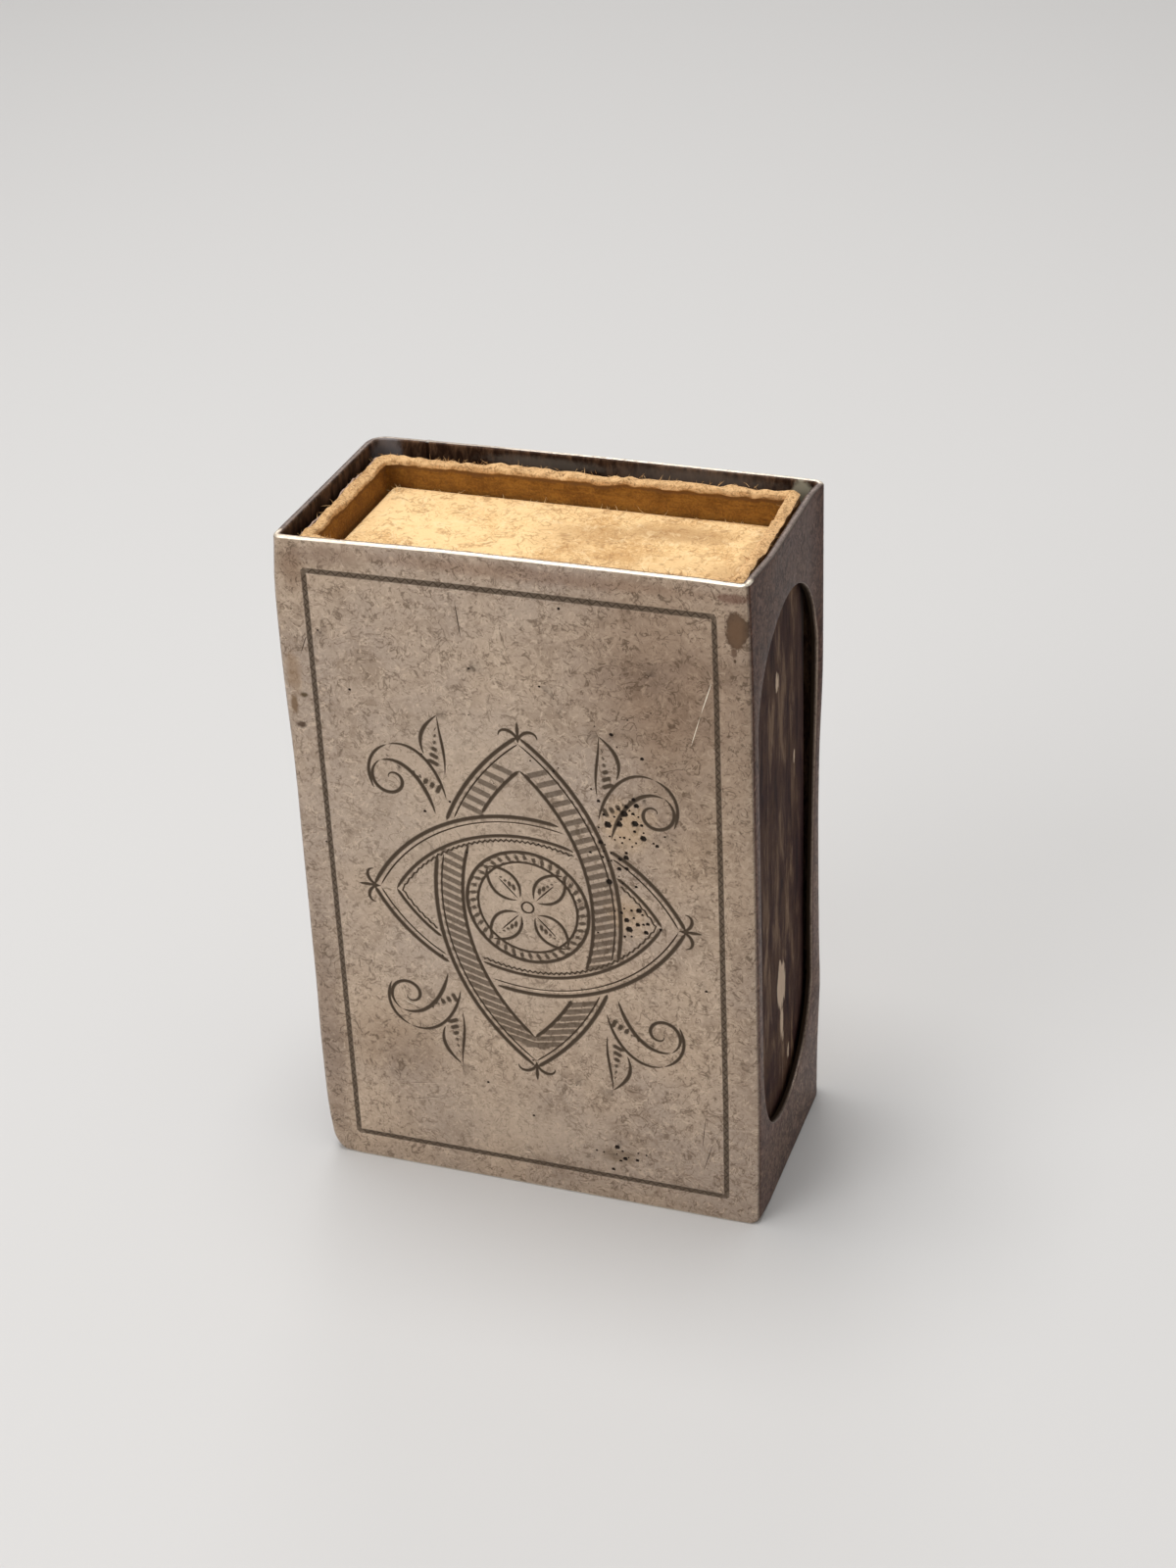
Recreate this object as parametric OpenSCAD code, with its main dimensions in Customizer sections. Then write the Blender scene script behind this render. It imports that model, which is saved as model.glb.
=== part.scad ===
// Silver matchbox holder with its matchbox.
// A bent silver sleeve, open at both ends, with a striking window in each narrow side.
// A board matchbox slides in the sleeve, and its tray of matches slides in the matchbox.
// X is the width, Y runs from the front to the back, and Z is up. The origin is the middle of the base.

/* [Matchbox case] */
// Width of the case over its paper wrap
case_w = 36; // [32:0.5:44]
// Depth of the case over its paper wrap
case_d = 17.3; // [15:0.1:22]
// Length of the case, which stands upright in the sleeve
case_h = 57.5; // [50:0.5:70]
// Thickness of the case board
case_board_t = 1; // [0.6:0.05:1.2]
// Outer radius of the board where it is folded
case_fold_r = 0.7; // [0.4:0.05:1]
// Inner radius of the board where it is creased and folded
crease_r = 0.2; // [0.1:0.05:0.3]
// Distance of the butt seam from the right edge of the front
case_seam_from_edge = 7; // [4:0.5:12]
// Gap between the board's two ends at the butt seam
case_seam_gap = 0.3; // [0.1:0.05:0.6]

/* [Paper wrap] */
// Thickness of the wrapping paper
wrap_t = 0.15; // [0.1:0.01:0.2]
// Width of the pasted overlap that bridges the butt seam
wrap_lap = 8; // [5:0.5:12]
// Distance by which the paper stops short of each end of the board
wrap_short = 0.25; // [0.1:0.05:1]
// Thickness of the paste between pieces that are stuck together
paste_t = 0.03; // [0.01:0.01:0.05]

/* [Strikers] */
// Thickness of the striking compound
striker_t = 0.12; // [0.05:0.01:0.15]
// Distance from a striker's long edges to the start of the fold
striker_edge = 0.1; // [0.05:0.05:1]
// Distance from a striker's short edges to the ends of the case
striker_end = 0.4; // [0.2:0.1:3]

/* [Silver sleeve] */
// Thickness of the silver sheet
sheet_t = 0.6; // [0.4:0.05:1]
// Clearance between the sleeve and the case at each narrow side
sleeve_fit_w = 0.4; // [0.3:0.05:0.8]
// Clearance between the sleeve and the case at the front and at the back
sleeve_fit_d = 0.75; // [0.3:0.05:1]
// Height of the sleeve's rim above the end of the case
sleeve_over = 1; // [0:0.1:3]
// Outer radius of the sleeve's front left bend
bend_front_left_r = 0.7; // [0.7:0.1:1.8]
// Outer radius of the sleeve's front right bend
bend_front_right_r = 0.7; // [0.7:0.1:1.8]
// Outer radius of the sleeve's back right bend
bend_back_right_r = 1.1; // [0.7:0.1:1.8]
// Outer radius of the sleeve's back left bend
bend_back_left_r = 1.6; // [0.7:0.1:1.8]
// Least inner radius of a bend in the sheet
bend_in_least_r = 0.1; // [0.05:0.05:0.3]
// Width of the metal left beside a window, from the edge to the outside of the sleeve
window_side = 1.6; // [1.4:0.1:4]
// Height of the metal left below a window
window_below = 6.2; // [3:0.1:12]
// Height of the metal left above a window
window_above = 5.1; // [3:0.1:12]
// Distance of the soldered seam from the left edge of the back
seam_from_edge = 5; // [4:0.5:12]
// Width of the solder in the seam
seam_w = 0.3; // [0.2:0.05:0.6]
// Distance by which the solder stops short of each end of the sleeve
seam_short = 0.3; // [0.1:0.1:1]

/* [Tray] */
// Clearance between the tray and the case at each narrow side
tray_fit_w = 0.25; // [0.1:0.05:0.5]
// Clearance between the tray and the case at the front and at the back
tray_fit_d = 0.2; // [0.1:0.05:0.5]
// Depth of the tray's upper end below the end of the case
tray_recess = 2.1; // [0:0.1:4]
// Height of the tray's lower end above the end of the case
tray_lift = 0.3; // [0.2:0.1:1]
// Thickness of the board of the four walls
tray_board_t = 0.9; // [0.6:0.05:1.1]
// Outer radius of the walls where the board is folded
tray_fold_r = 0.6; // [0.4:0.05:1]
// Gap between the two ends of the walls' board
tray_seam_gap = 0.2; // [0.1:0.05:0.5]
// Distance of that gap from the lower right corner, inside
tray_seam_from_corner = 2; // [1:0.5:8]
// Thickness of the floor board
tray_floor_t = 0.8; // [0.6:0.05:1]
// Clearance between the floor board and the walls around it
tray_floor_fit = 0.1; // [0.05:0.05:0.2]
// Thickness of the paper that is pasted round the tray
tray_paper_t = 0.15; // [0.1:0.01:0.2]
// Width of the paper that is turned over the back of the floor
tray_paper_turn = 3; // [2:0.5:5]

/* [Matches] */
// Thickness of a square match stick
stick_t = 2; // [1.8:0.1:2.1]
// Room left in the tray above the heads
match_headroom = 3; // [1:0.5:12]
// Largest radius of a match head
head_r = 1.6; // [1.56:0.02:1.8]
// Length of a match head
head_len = 4.6; // [4:0.1:6]
// Length of the head above the end of the stick
head_over = 1.4; // [0.8:0.1:2]
// Least thickness of the head over the corners of its stick
head_skin = 0.1; // [0.05:0.01:0.1]
// Clearance between a stick and the pocket in its head
pocket_fit = 0.02; // [0.01:0.01:0.04]
// Gap between neighbouring heads
head_gap = 0.15; // [0.05:0.05:0.4]
// Gap between the outermost heads and the walls and floor of the tray
lay_gap = 0.05; // [0.05:0.05:0.2]
// Number of matches in the layer on the floor
matches_in_row = 8; // [4:1:8]
// Number of layers of matches
layers = 3; // [1:1:3]
// Number of matches already taken from the top layer
matches_used = 1; // [0:1:4]

/* [Hidden] */
$fn = 64;
cut = 1;

// Case
board_w = case_w - 2 * (wrap_t + paste_t);
board_d = case_d - 2 * (wrap_t + paste_t);
case_in_w = board_w - 2 * case_board_t;
case_in_d = board_d - 2 * case_board_t;
wrap_in_r = case_fold_r + paste_t;
wrap_h = case_h - 2 * wrap_short;
case_seam_x = case_w / 2 - case_seam_from_edge;
striker_w = case_d - 2 * (wrap_in_r + wrap_t + striker_edge);
striker_h = case_h - 2 * striker_end;

// Sleeve
sleeve_w = case_w + 2 * (sleeve_fit_w + sheet_t);
sleeve_d = case_d + 2 * (sleeve_fit_d + sheet_t);
sleeve_h = case_h + sleeve_over;
window_r = sleeve_d / 2 - window_side;
seam_x = -sleeve_w / 2 + seam_from_edge;
bend_radii = [bend_front_left_r, bend_front_right_r, bend_back_right_r, bend_back_left_r];
bend_in_radii = [for (r = bend_radii) max(r - sheet_t, bend_in_least_r)];

// Tray
tray_w = case_in_w - 2 * tray_fit_w;
tray_d = case_in_d - 2 * tray_fit_d;
tray_h = case_h - tray_recess - tray_lift;
tray_skin = tray_paper_t + paste_t;
walls_w = tray_w - 2 * tray_skin;
walls_h = tray_h - 2 * tray_skin;
walls_d = tray_d - tray_skin;
walls_front = -tray_d / 2;
walls_back = walls_front + walls_d;
walls_in_w = walls_w - 2 * tray_board_t;
walls_in_h = walls_h - 2 * tray_board_t;
floor_front = walls_back - tray_floor_t;
tray_mid_z = tray_lift + tray_h / 2;

// Matches, in layers that nest: every second layer lies half a step aside and holds one match fewer
stick_len = walls_in_h - match_headroom - head_over;
head_base_r = stick_t / 2 * sqrt(2) + head_skin;
match_step = (walls_in_w - 2 * lay_gap - 2 * head_r) / (matches_in_row - 1);
nest_step = 2 * head_r + head_gap;
layer_step = sqrt(max(pow(stick_t + lay_gap, 2), pow(nest_step, 2) - pow(match_step / 2, 2)));
first_layer_y = floor_front - head_r - lay_gap;
match_base_z = tray_lift + tray_skin + tray_board_t;

function layer_count(layer) =
    matches_in_row - (layer % 2) - (layer == layers - 1 ? matches_used : 0);

match_places = [
    for (layer = [0 : layers - 1])
        for (i = [0 : layer_count(layer) - 1])
            [
                (i - (matches_in_row - 1 - layer % 2) / 2) * match_step,
                first_layer_y - layer * layer_step,
                match_base_z
            ]
];

function two_digits(n) = n < 10 ? str("0", n) : str(n);
function stick_name(i) = str("match_stick_", two_digits(i + 1));
function head_name(i) = str("match_head_", two_digits(i + 1));

box_nodes = [
    "silver_sleeve", "seam_solder",
    "case_board", "case_wrap_paper", "striker_right", "striker_left",
    "tray_walls", "tray_floor", "tray_paper"
];

silver = [0.62, 0.59, 0.56];
solder = [0.56, 0.53, 0.5];
strawboard = [0.72, 0.58, 0.38];
wrap_paper = [0.8, 0.7, 0.58];
striking_brown = [0.3, 0.2, 0.2];
tray_board_colour = [0.78, 0.68, 0.5];
tray_paper_colour = [0.84, 0.78, 0.64];
aspen = [0.86, 0.76, 0.56];
head_brown = [0.42, 0.16, 0.11];

// A rectangle with round corners, about the origin
module rounded_rect(w, h, r) {
    square([w - 2 * r, h], center = true);
    square([w, h - 2 * r], center = true);
    for (x = [-1, 1], y = [-1, 1])
        translate([x * (w / 2 - r), y * (h / 2 - r)])
            circle(r = r);
}

// A rectangle about the origin with a radius for each corner, from the front left one anticlockwise
module bent_rect(w, h, radii) {
    corners = [[-1, -1], [1, -1], [1, 1], [-1, 1]];
    polygon([
        for (i = [0 : 3])
            let (
                r = radii[i],
                on_face = [corners[i].x * (w / 2 - r), corners[i].y * h / 2],
                on_side = [corners[i].x * w / 2, corners[i].y * (h / 2 - r)]
            )
                each (i % 2 == 0 ? [on_side, on_face] : [on_face, on_side])
    ]);
    for (i = [0 : 3])
        translate([corners[i].x * (w / 2 - radii[i]), corners[i].y * (h / 2 - radii[i])])
            circle(r = radii[i]);
}

// The section of a folded tube of sheet
module folded_section(w, h, r, t, in_r) {
    difference() {
        rounded_rect(w, h, r);
        rounded_rect(w - 2 * t, h - 2 * t, in_r);
    }
}

// The outline of a window: two half circles joined by straight sides
module window_outline(r, h) {
    translate([0, r])
        circle(r = r);
    translate([0, h - r])
        circle(r = r);
    translate([-r, r])
        square([2 * r, h - 2 * r]);
}

module silver_sleeve() {
    window_h = sleeve_h - window_below - window_above;
    color(silver)
        difference() {
            linear_extrude(sleeve_h)
                difference() {
                    bent_rect(sleeve_w, sleeve_d, bend_radii);
                    bent_rect(sleeve_w - 2 * sheet_t, sleeve_d - 2 * sheet_t, bend_in_radii);
                    translate([seam_x - seam_w / 2, sleeve_d / 2 - sheet_t - cut])
                        square([seam_w, sheet_t + 2 * cut]);
                }
            translate([-sleeve_w / 2 - cut, 0, window_below])
                rotate([90, 0, 90])
                    linear_extrude(sleeve_w + 2 * cut)
                        window_outline(window_r, window_h);
        }
}

module seam_solder() {
    color(solder)
        translate([seam_x - seam_w / 2, sleeve_d / 2 - sheet_t, seam_short])
            cube([seam_w, sheet_t, sleeve_h - 2 * seam_short]);
}

module case_board() {
    color(strawboard)
        linear_extrude(case_h)
            difference() {
                folded_section(board_w, board_d, case_fold_r, case_board_t, crease_r);
                translate([case_seam_x - case_seam_gap / 2, -board_d / 2 - cut])
                    square([case_seam_gap, case_board_t + 2 * cut]);
            }
}

module case_wrap_paper() {
    color(wrap_paper)
        translate([0, 0, wrap_short])
            linear_extrude(wrap_h)
                union() {
                    folded_section(case_w, case_d, wrap_in_r + wrap_t, wrap_t, wrap_in_r);
                    translate([case_seam_x - wrap_lap / 2, -case_d / 2 - wrap_t])
                        square([wrap_lap, wrap_t]);
                }
}

// One striking strip, on the flat of a narrow side
module striker(side) {
    x = side * (case_w / 2 + striker_t / 2);
    color(striking_brown)
        translate([x, 0, case_h / 2])
            cube([striker_t, striker_w, striker_h], center = true);
}

// Stands a section in the XZ plane about the tray's middle, from one depth to another
module across_tray(from_y, to_y) {
    translate([0, to_y, tray_mid_z])
        rotate([90, 0, 0])
            linear_extrude(to_y - from_y)
                children();
}

module tray_walls() {
    color(tray_board_colour)
        across_tray(walls_front, walls_back)
            difference() {
                folded_section(walls_w, walls_h, tray_fold_r, tray_board_t, crease_r);
                translate([walls_in_w / 2 - tray_seam_from_corner, -walls_h / 2 - cut])
                    square([tray_seam_gap, tray_board_t + 2 * cut]);
            }
}

module tray_floor() {
    floor_w = walls_in_w - 2 * tray_floor_fit;
    floor_h = walls_in_h - 2 * tray_floor_fit;
    color(tray_board_colour)
        across_tray(floor_front, walls_back)
            rounded_rect(floor_w, floor_h, crease_r);
}

module tray_paper() {
    paper_in_r = tray_fold_r + paste_t;
    turn_w = tray_w - 2 * tray_paper_turn;
    turn_h = tray_h - 2 * tray_paper_turn;
    color(tray_paper_colour) {
        across_tray(walls_front, tray_d / 2)
            folded_section(tray_w, tray_h, paper_in_r + tray_paper_t, tray_paper_t, paper_in_r);
        across_tray(tray_d / 2 - tray_paper_t, tray_d / 2)
            difference() {
                rounded_rect(tray_w, tray_h, paper_in_r + tray_paper_t);
                square([turn_w, turn_h], center = true);
            }
    }
}

module match_stick(place) {
    color(aspen)
        translate(place)
            translate([-stick_t / 2, -stick_t / 2, 0])
                cube([stick_t, stick_t, stick_len]);
}

// A dipped head: a round nose over a slow taper, with the pocket that the stick fills
module match_head(place) {
    pocket = stick_t + 2 * pocket_fit;
    top_z = stick_len + head_over;
    ball_z = top_z - head_r;
    base_z = top_z - head_len;
    color(head_brown)
        translate(place)
            difference() {
                union() {
                    translate([0, 0, ball_z])
                        sphere(r = head_r);
                    translate([0, 0, base_z])
                        cylinder(h = ball_z - base_z, r1 = head_base_r, r2 = head_r);
                }
                translate([-pocket / 2, -pocket / 2, base_z - cut])
                    cube([pocket, pocket, stick_len + pocket_fit - base_z + cut]);
            }
}

silver_sleeve();
seam_solder();
case_board();
case_wrap_paper();
striker(1);  // striker_right
striker(-1);  // striker_left
tray_walls();
tray_floor();
tray_paper();
for (i = [0 : len(match_places) - 1])
    match_stick(match_places[i]);
for (i = [0 : len(match_places) - 1])
    match_head(match_places[i]);
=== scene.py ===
# %% [markdown]
# # A silver matchbox holder, standing on one end
# The holder is a sleeve of thin silver sheet, open at both ends, for a small board matchbox.
# Its front is engraved by hand. Each narrow side has a tall window, through which the matches are
# struck. The silver has tarnished to a warm grey, and the board has turned the colour of straw.
#
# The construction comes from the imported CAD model, which is loaded first and never moved. Each cell
# below then dresses one piece of it, at the size that the CAD gives.

import math

import bmesh
import bpy
import numpy as np
from mathutils import Matrix, Vector, noise
from mathutils.geometry import delaunay_2d_cdt


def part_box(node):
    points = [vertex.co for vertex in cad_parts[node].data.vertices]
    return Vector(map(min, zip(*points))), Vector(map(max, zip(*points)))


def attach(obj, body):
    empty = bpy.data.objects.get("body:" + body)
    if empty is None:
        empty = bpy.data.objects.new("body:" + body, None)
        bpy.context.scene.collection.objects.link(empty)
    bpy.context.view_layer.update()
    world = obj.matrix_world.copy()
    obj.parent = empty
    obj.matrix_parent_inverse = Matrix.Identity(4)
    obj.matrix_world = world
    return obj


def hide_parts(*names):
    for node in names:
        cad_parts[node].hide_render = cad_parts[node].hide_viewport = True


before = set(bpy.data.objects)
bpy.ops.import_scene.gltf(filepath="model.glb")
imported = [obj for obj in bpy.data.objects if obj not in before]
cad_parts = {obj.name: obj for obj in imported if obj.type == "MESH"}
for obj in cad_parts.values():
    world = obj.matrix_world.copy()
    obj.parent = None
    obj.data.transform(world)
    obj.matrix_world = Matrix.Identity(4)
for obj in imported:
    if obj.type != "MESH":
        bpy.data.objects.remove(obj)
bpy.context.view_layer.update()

# %% [markdown]
# ## The camera
# A pinhole camera was fitted to the straight edges of the sleeve. It stands to the right of the
# front and looks down at about thirty degrees. The three vectors say where it is, where it looks and
# which way is up in the picture, so that its slight roll is kept.

# %% Camera
MM = 0.001
CAMERA_AT = Vector((68.41, -181.20, 146.52)) * MM
CAMERA_FORWARD = Vector((-0.29711, 0.81142, -0.50330)).normalized()
CAMERA_UP = Vector((-0.13025, 0.48774, 0.86322))
FOCAL_PIXELS = 2807.4
PHOTO_LONG_SIDE = 1600
SENSOR = 36.0
NEAREST = 0.01


def make_camera():
    data = bpy.data.cameras.new("photo_camera")
    data.sensor_width = SENSOR
    data.lens = FOCAL_PIXELS / PHOTO_LONG_SIDE * SENSOR
    data.clip_start = NEAREST
    camera = bpy.data.objects.new("photo_camera", data)
    bpy.context.scene.collection.objects.link(camera)
    right = CAMERA_FORWARD.cross(CAMERA_UP).normalized()
    up = right.cross(CAMERA_FORWARD)
    turn = Matrix((right, up, -CAMERA_FORWARD)).transposed().to_4x4()
    camera.matrix_world = Matrix.Translation(CAMERA_AT) @ turn
    bpy.context.scene.camera = camera
    return camera


camera = make_camera()
print("lens:", round(camera.data.lens, 2), "mm")

# %% [markdown]
# ## Floor and light
# The holder stands on a plain pale floor. One large soft lamp hangs above it, a weaker one stands in
# front, and the pale world fills the shadows. A third lamp, weak and behind the holder, is there for
# the rim alone, because a flat edge of metal looks bright only where it mirrors a lamp.

# %% Floor and lamps
FLOOR_SIZE = 3.0
FLOOR_COLOUR = (0.60, 0.59, 0.58)
FLOOR_ROUGHNESS = 0.85
WORLD_COLOUR = (0.90, 0.89, 0.88)
WORLD_STRENGTH = 0.45
LAMPS = {
    "overhead": {"at": (-0.06, 0.02, 0.58), "size": 0.32, "watts": 2.4},
    "front_fill": {"at": (-0.28, -0.46, 0.34), "size": 0.40, "watts": 1.2},
    "back_light": {"at": (-0.20, 0.52, 0.36), "size": 0.22, "watts": 0.45},
}
LAMPS_AIM_AT = Vector((0, 0, 0.03))


def make_world():
    world = bpy.data.worlds.new("pale_room")
    world.use_nodes = True
    background = world.node_tree.nodes["Background"]
    background.inputs["Color"].default_value = (*WORLD_COLOUR, 1)
    background.inputs["Strength"].default_value = WORLD_STRENGTH
    bpy.context.scene.world = world


def make_lamp(name, at, size, watts):
    data = bpy.data.lights.new(name, "AREA")
    data.shape = "DISK"
    data.size = size
    data.energy = watts
    lamp = bpy.data.objects.new(name, data)
    bpy.context.scene.collection.objects.link(lamp)
    lamp.location = at
    aim = LAMPS_AIM_AT - Vector(at)
    lamp.rotation_euler = aim.to_track_quat("-Z", "Y").to_euler()


def make_floor():
    half = FLOOR_SIZE / 2
    mesh = bpy.data.meshes.new("floor")
    corners = [(-half, -half, 0), (half, -half, 0), (half, half, 0), (-half, half, 0)]
    mesh.from_pydata(corners, [], [(0, 1, 2, 3)])
    floor = bpy.data.objects.new("floor", mesh)
    bpy.context.scene.collection.objects.link(floor)
    material = bpy.data.materials.new("pale_floor")
    material.use_nodes = True
    shader = material.node_tree.nodes["Principled BSDF"]
    shader.inputs["Base Color"].default_value = (*FLOOR_COLOUR, 1)
    shader.inputs["Roughness"].default_value = FLOOR_ROUGHNESS
    mesh.materials.append(material)


make_world()
for name, lamp in LAMPS.items():
    make_lamp(name, **lamp)
make_floor()
bpy.context.scene.view_settings.view_transform = "Standard"
print("lamps:", list(LAMPS))

# %% [markdown]
# ## Mixing a finish
# Every finish below is mixed from noise and a few placed marks. Their coordinates come from the
# object itself, in millimetres, so a stain stays where it is when the matchbox slides. Image textures
# could do this too, but nodes stay sharp at any distance and need no file.

# %% A mixing bench for nodes
RAGGED = 0.6


class Finish:
    """One material under construction. Sizes are in mm, and colours are linear red, green, blue."""

    def __init__(self, name):
        self.material = bpy.data.materials.new(name)
        self.material.use_nodes = True
        self.shader = self.material.node_tree.nodes["Principled BSDF"]
        self.coordinates = self.add("ShaderNodeTexCoord")
        scale = self.add("ShaderNodeVectorMath", operation="SCALE")
        self.feed(scale.inputs[0], self.coordinates.outputs["Object"])
        scale.inputs["Scale"].default_value = 1 / MM
        self.place = scale.outputs[0]
        apart = self.add("ShaderNodeSeparateXYZ")
        self.feed(apart.inputs[0], self.place)
        self.x, self.y, self.z = apart.outputs

    def add(self, kind, **settings):
        node = self.material.node_tree.nodes.new(kind)
        for key, value in settings.items():
            setattr(node, key, value)
        return node

    def feed(self, socket, value):
        """Links the socket to another one, or writes a number or a colour on it."""
        if isinstance(value, bpy.types.NodeSocket):
            self.material.node_tree.links.new(value, socket)
        elif socket.type == "RGBA":
            socket.default_value = (*value, 1)
        else:
            socket.default_value = value

    def calc(self, operation, a, b=0.0):
        """One step of arithmetic on one or two values."""
        node = self.add("ShaderNodeMath", operation=operation)
        self.feed(node.inputs[0], a)
        self.feed(node.inputs[1], b)
        return node.outputs[0]

    def times(self, *values):
        """The product of two or more values."""
        product = values[0]
        for value in values[1:]:
            product = self.calc("MULTIPLY", product, value)
        return product

    def stretched(self, factors, turn=(0, 0, 0)):
        """The coordinates, turned and then stretched."""
        node = self.add("ShaderNodeMapping")
        self.feed(node.inputs["Vector"], self.place)
        self.feed(node.inputs["Rotation"], turn)
        self.feed(node.inputs["Scale"], factors)
        return node.outputs[0]

    def grain(self, size, detail, rough=0.55, swirl=0.0, place=None):
        """Noise whose blots are about this size."""
        node = self.add("ShaderNodeTexNoise")
        self.feed(node.inputs["Vector"], place or self.place)
        self.feed(node.inputs["Scale"], 1 / size)
        self.feed(node.inputs["Detail"], detail)
        self.feed(node.inputs["Roughness"], rough)
        self.feed(node.inputs["Distortion"], swirl)
        return node.outputs["Fac"]

    def hairs(self, size, width, turn):
        """Thin curly lines, 1 on the line, drawn where a noise crosses its middle value."""
        turned = self.stretched((1, 1, 1), (turn, turn, 0))
        away = self.calc("SUBTRACT", self.grain(size, 2, 0.5, swirl=1.4, place=turned), 0.5)
        on_line = self.ramp(self.calc("ABSOLUTE", away), width, 0)
        broken = self.grain(size * 0.8, 2, place=self.stretched((1, 1, 1), (0, turn, turn)))
        return self.times(on_line, self.ramp(broken, 0.47, 0.56))

    def ramp(self, value, low, high, start=0.0, end=1.0):
        """A smooth step from start to end while the value goes from low to high."""
        node = self.add("ShaderNodeMapRange", interpolation_type="SMOOTHSTEP")
        for socket, number in zip(node.inputs, (value, low, high, start, end)):
            self.feed(socket, number)
        return node.outputs[0]

    def blend(self, share, a, b, how="MIX"):
        """The colour a where the share is 0, b where it is 1, and a mixture between."""
        node = self.add("ShaderNodeMix", data_type="RGBA", blend_type=how)
        self.feed(node.inputs[0], share)
        self.feed(node.inputs[6], a)
        self.feed(node.inputs[7], b)
        return node.outputs[2]

    def lay(self, paint, colour, *shares):
        """Lays a paint over a colour, as thickly as the product of the shares says."""
        return self.blend(self.times(*shares), colour, paint)

    def mark(self, name):
        """A value that the mesh carries at its points."""
        return self.add("ShaderNodeAttribute", attribute_name=name).outputs["Fac"]

    def sideways(self):
        """How far the surface faces to the left or to the right, from 0 to 1."""
        apart = self.add("ShaderNodeSeparateXYZ")
        self.feed(apart.inputs[0], self.coordinates.outputs["Normal"])
        return self.calc("ABSOLUTE", apart.outputs["X"])

    def spot(self, centre, radii, edge, axes="xz"):
        """An oval stain, 1 inside, with an outline that wanders and an edge of this softness."""
        parts = []
        for axis, middle, radius in zip(axes, centre, radii):
            offset = self.calc("SUBTRACT", getattr(self, axis), middle)
            share = self.calc("ABSOLUTE", self.calc("DIVIDE", offset, radius))
            parts.append(self.calc("POWER", share, 2))
        away = self.calc("SQRT", self.calc("ADD", *parts))
        wander = self.times(self.grain(min(radii) * 0.9, 5, 0.65), RAGGED * 2)
        away = self.calc("ADD", away, self.calc("SUBTRACT", wander, RAGGED))
        return self.ramp(away, 1 + edge, 1 - edge)

    def bump(self, height, depth, under=None):
        """Fine relief of this depth in mm, on top of another one if that is given."""
        node = self.add("ShaderNodeBump")
        self.feed(node.inputs["Strength"], 1.0)
        self.feed(node.inputs["Distance"], depth * MM)
        self.feed(node.inputs["Height"], height)
        if under:
            self.feed(node.inputs["Normal"], under)
        return node.outputs[0]

    def done(self, **channels):
        """Feeds the shader's sockets by name and hands over the material."""
        for name, value in channels.items():
            self.feed(self.shader.inputs[name.replace("_", " ")], value)
        print("finish:", self.material.name)
        return self.material


# %% [markdown]
# ## Solids from points
# Most pieces here are built point by point, because the real ones are folded sheets. The class below
# gathers points with their marks, such as how deep inside a cut a point lies, and makes one mesh.

# %% A gatherer for meshes


class Solid:
    """Points in mm with their marks, and faces, gathered for one mesh."""

    def __init__(self):
        self.points = []
        self.faces = []
        self.marks = {}

    def add(self, points, **marks):
        """Takes up points with their marks, and hands over their numbers."""
        start = len(self.points)
        self.points += [tuple(p) for p in points]
        for name, values in marks.items():
            self.marks.setdefault(name, []).append((start, np.broadcast_to(values, len(points))))
        return np.arange(start, start + len(points))

    def strip(self, a, b, closed=False):
        """Quads between two rows of points."""
        for i in range(len(a) if closed else len(a) - 1):
            j = (i + 1) % len(a)
            self.faces.append((a[i], a[j], b[j], b[i]))

    def tube(self, rings, capped=True):
        """Quads from ring to ring, with a face over both ends if it is capped."""
        for before, ring in zip(rings[:-1], rings[1:]):
            self.strip(before, ring, closed=True)
        if capped:
            self.faces += [tuple(rings[0]), tuple(rings[-1][::-1])]

    def spike(self, rings, tip):
        """A tube with a face over its foot, which ends in a point."""
        self.faces.append(tuple(rings[0][::-1]))
        self.tube(rings, capped=False)
        last = rings[-1]
        self.faces += [(last[i], last[(i + 1) % len(last)], tip) for i in range(len(last))]

    def build(self, name, finish, body, stands_for, sharp=30):
        """Makes the piece, and ties it to its CAD body and the nodes it stands for."""
        mesh = bpy.data.meshes.new(name)
        faces = [tuple(int(i) for i in face) for face in self.faces]
        mesh.from_pydata([tuple(c * MM for c in p) for p in self.points], [], faces)
        for mark, blocks in self.marks.items():
            values = np.zeros(len(self.points), np.float32)
            for start, block in blocks:
                values[start : start + len(block)] = block
            mesh.attributes.new(mark, "FLOAT", "POINT").data.foreach_set("value", values)
        tidy = bmesh.new()
        tidy.from_mesh(mesh)
        bmesh.ops.recalc_face_normals(tidy, faces=tidy.faces)
        open_edges = sum(not edge.is_manifold for edge in tidy.edges)
        tidy.to_mesh(mesh)
        tidy.free()
        mesh.shade_smooth()
        mesh.set_sharp_from_angle(angle=math.radians(sharp))
        mesh.materials.append(finish)
        piece = bpy.data.objects.new(name, mesh)
        bpy.context.scene.collection.objects.link(piece)
        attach(piece, body)
        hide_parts(*stands_for)
        triangles = sum(len(face) - 2 for face in faces)
        print(f"{name}: {triangles} triangles, {open_edges} open edges")


def box_of(node):
    """The lower and the upper corner of a CAD node's box, in mm."""
    return [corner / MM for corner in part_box(node)]


def waves(points, size, seed):
    """Smooth noise between about -1 and 1 at each point, with waves of this size in mm."""
    scale, shift = 1 / size, Vector((seed, 0, 0))
    return np.array([noise.noise(Vector(p) * scale + shift) for p in points])


# %% [markdown]
# ## A folded strip
# The sleeve, the board case and the papers are all strips bent round a box. A point on such a strip
# needs only a distance `u` along the outside, measured from the middle of the front, and a depth
# under the outer face. So drawings are made on a flat sheet, and the bending comes last, as it does
# on a silversmith's bench.

# %% The fold


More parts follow.
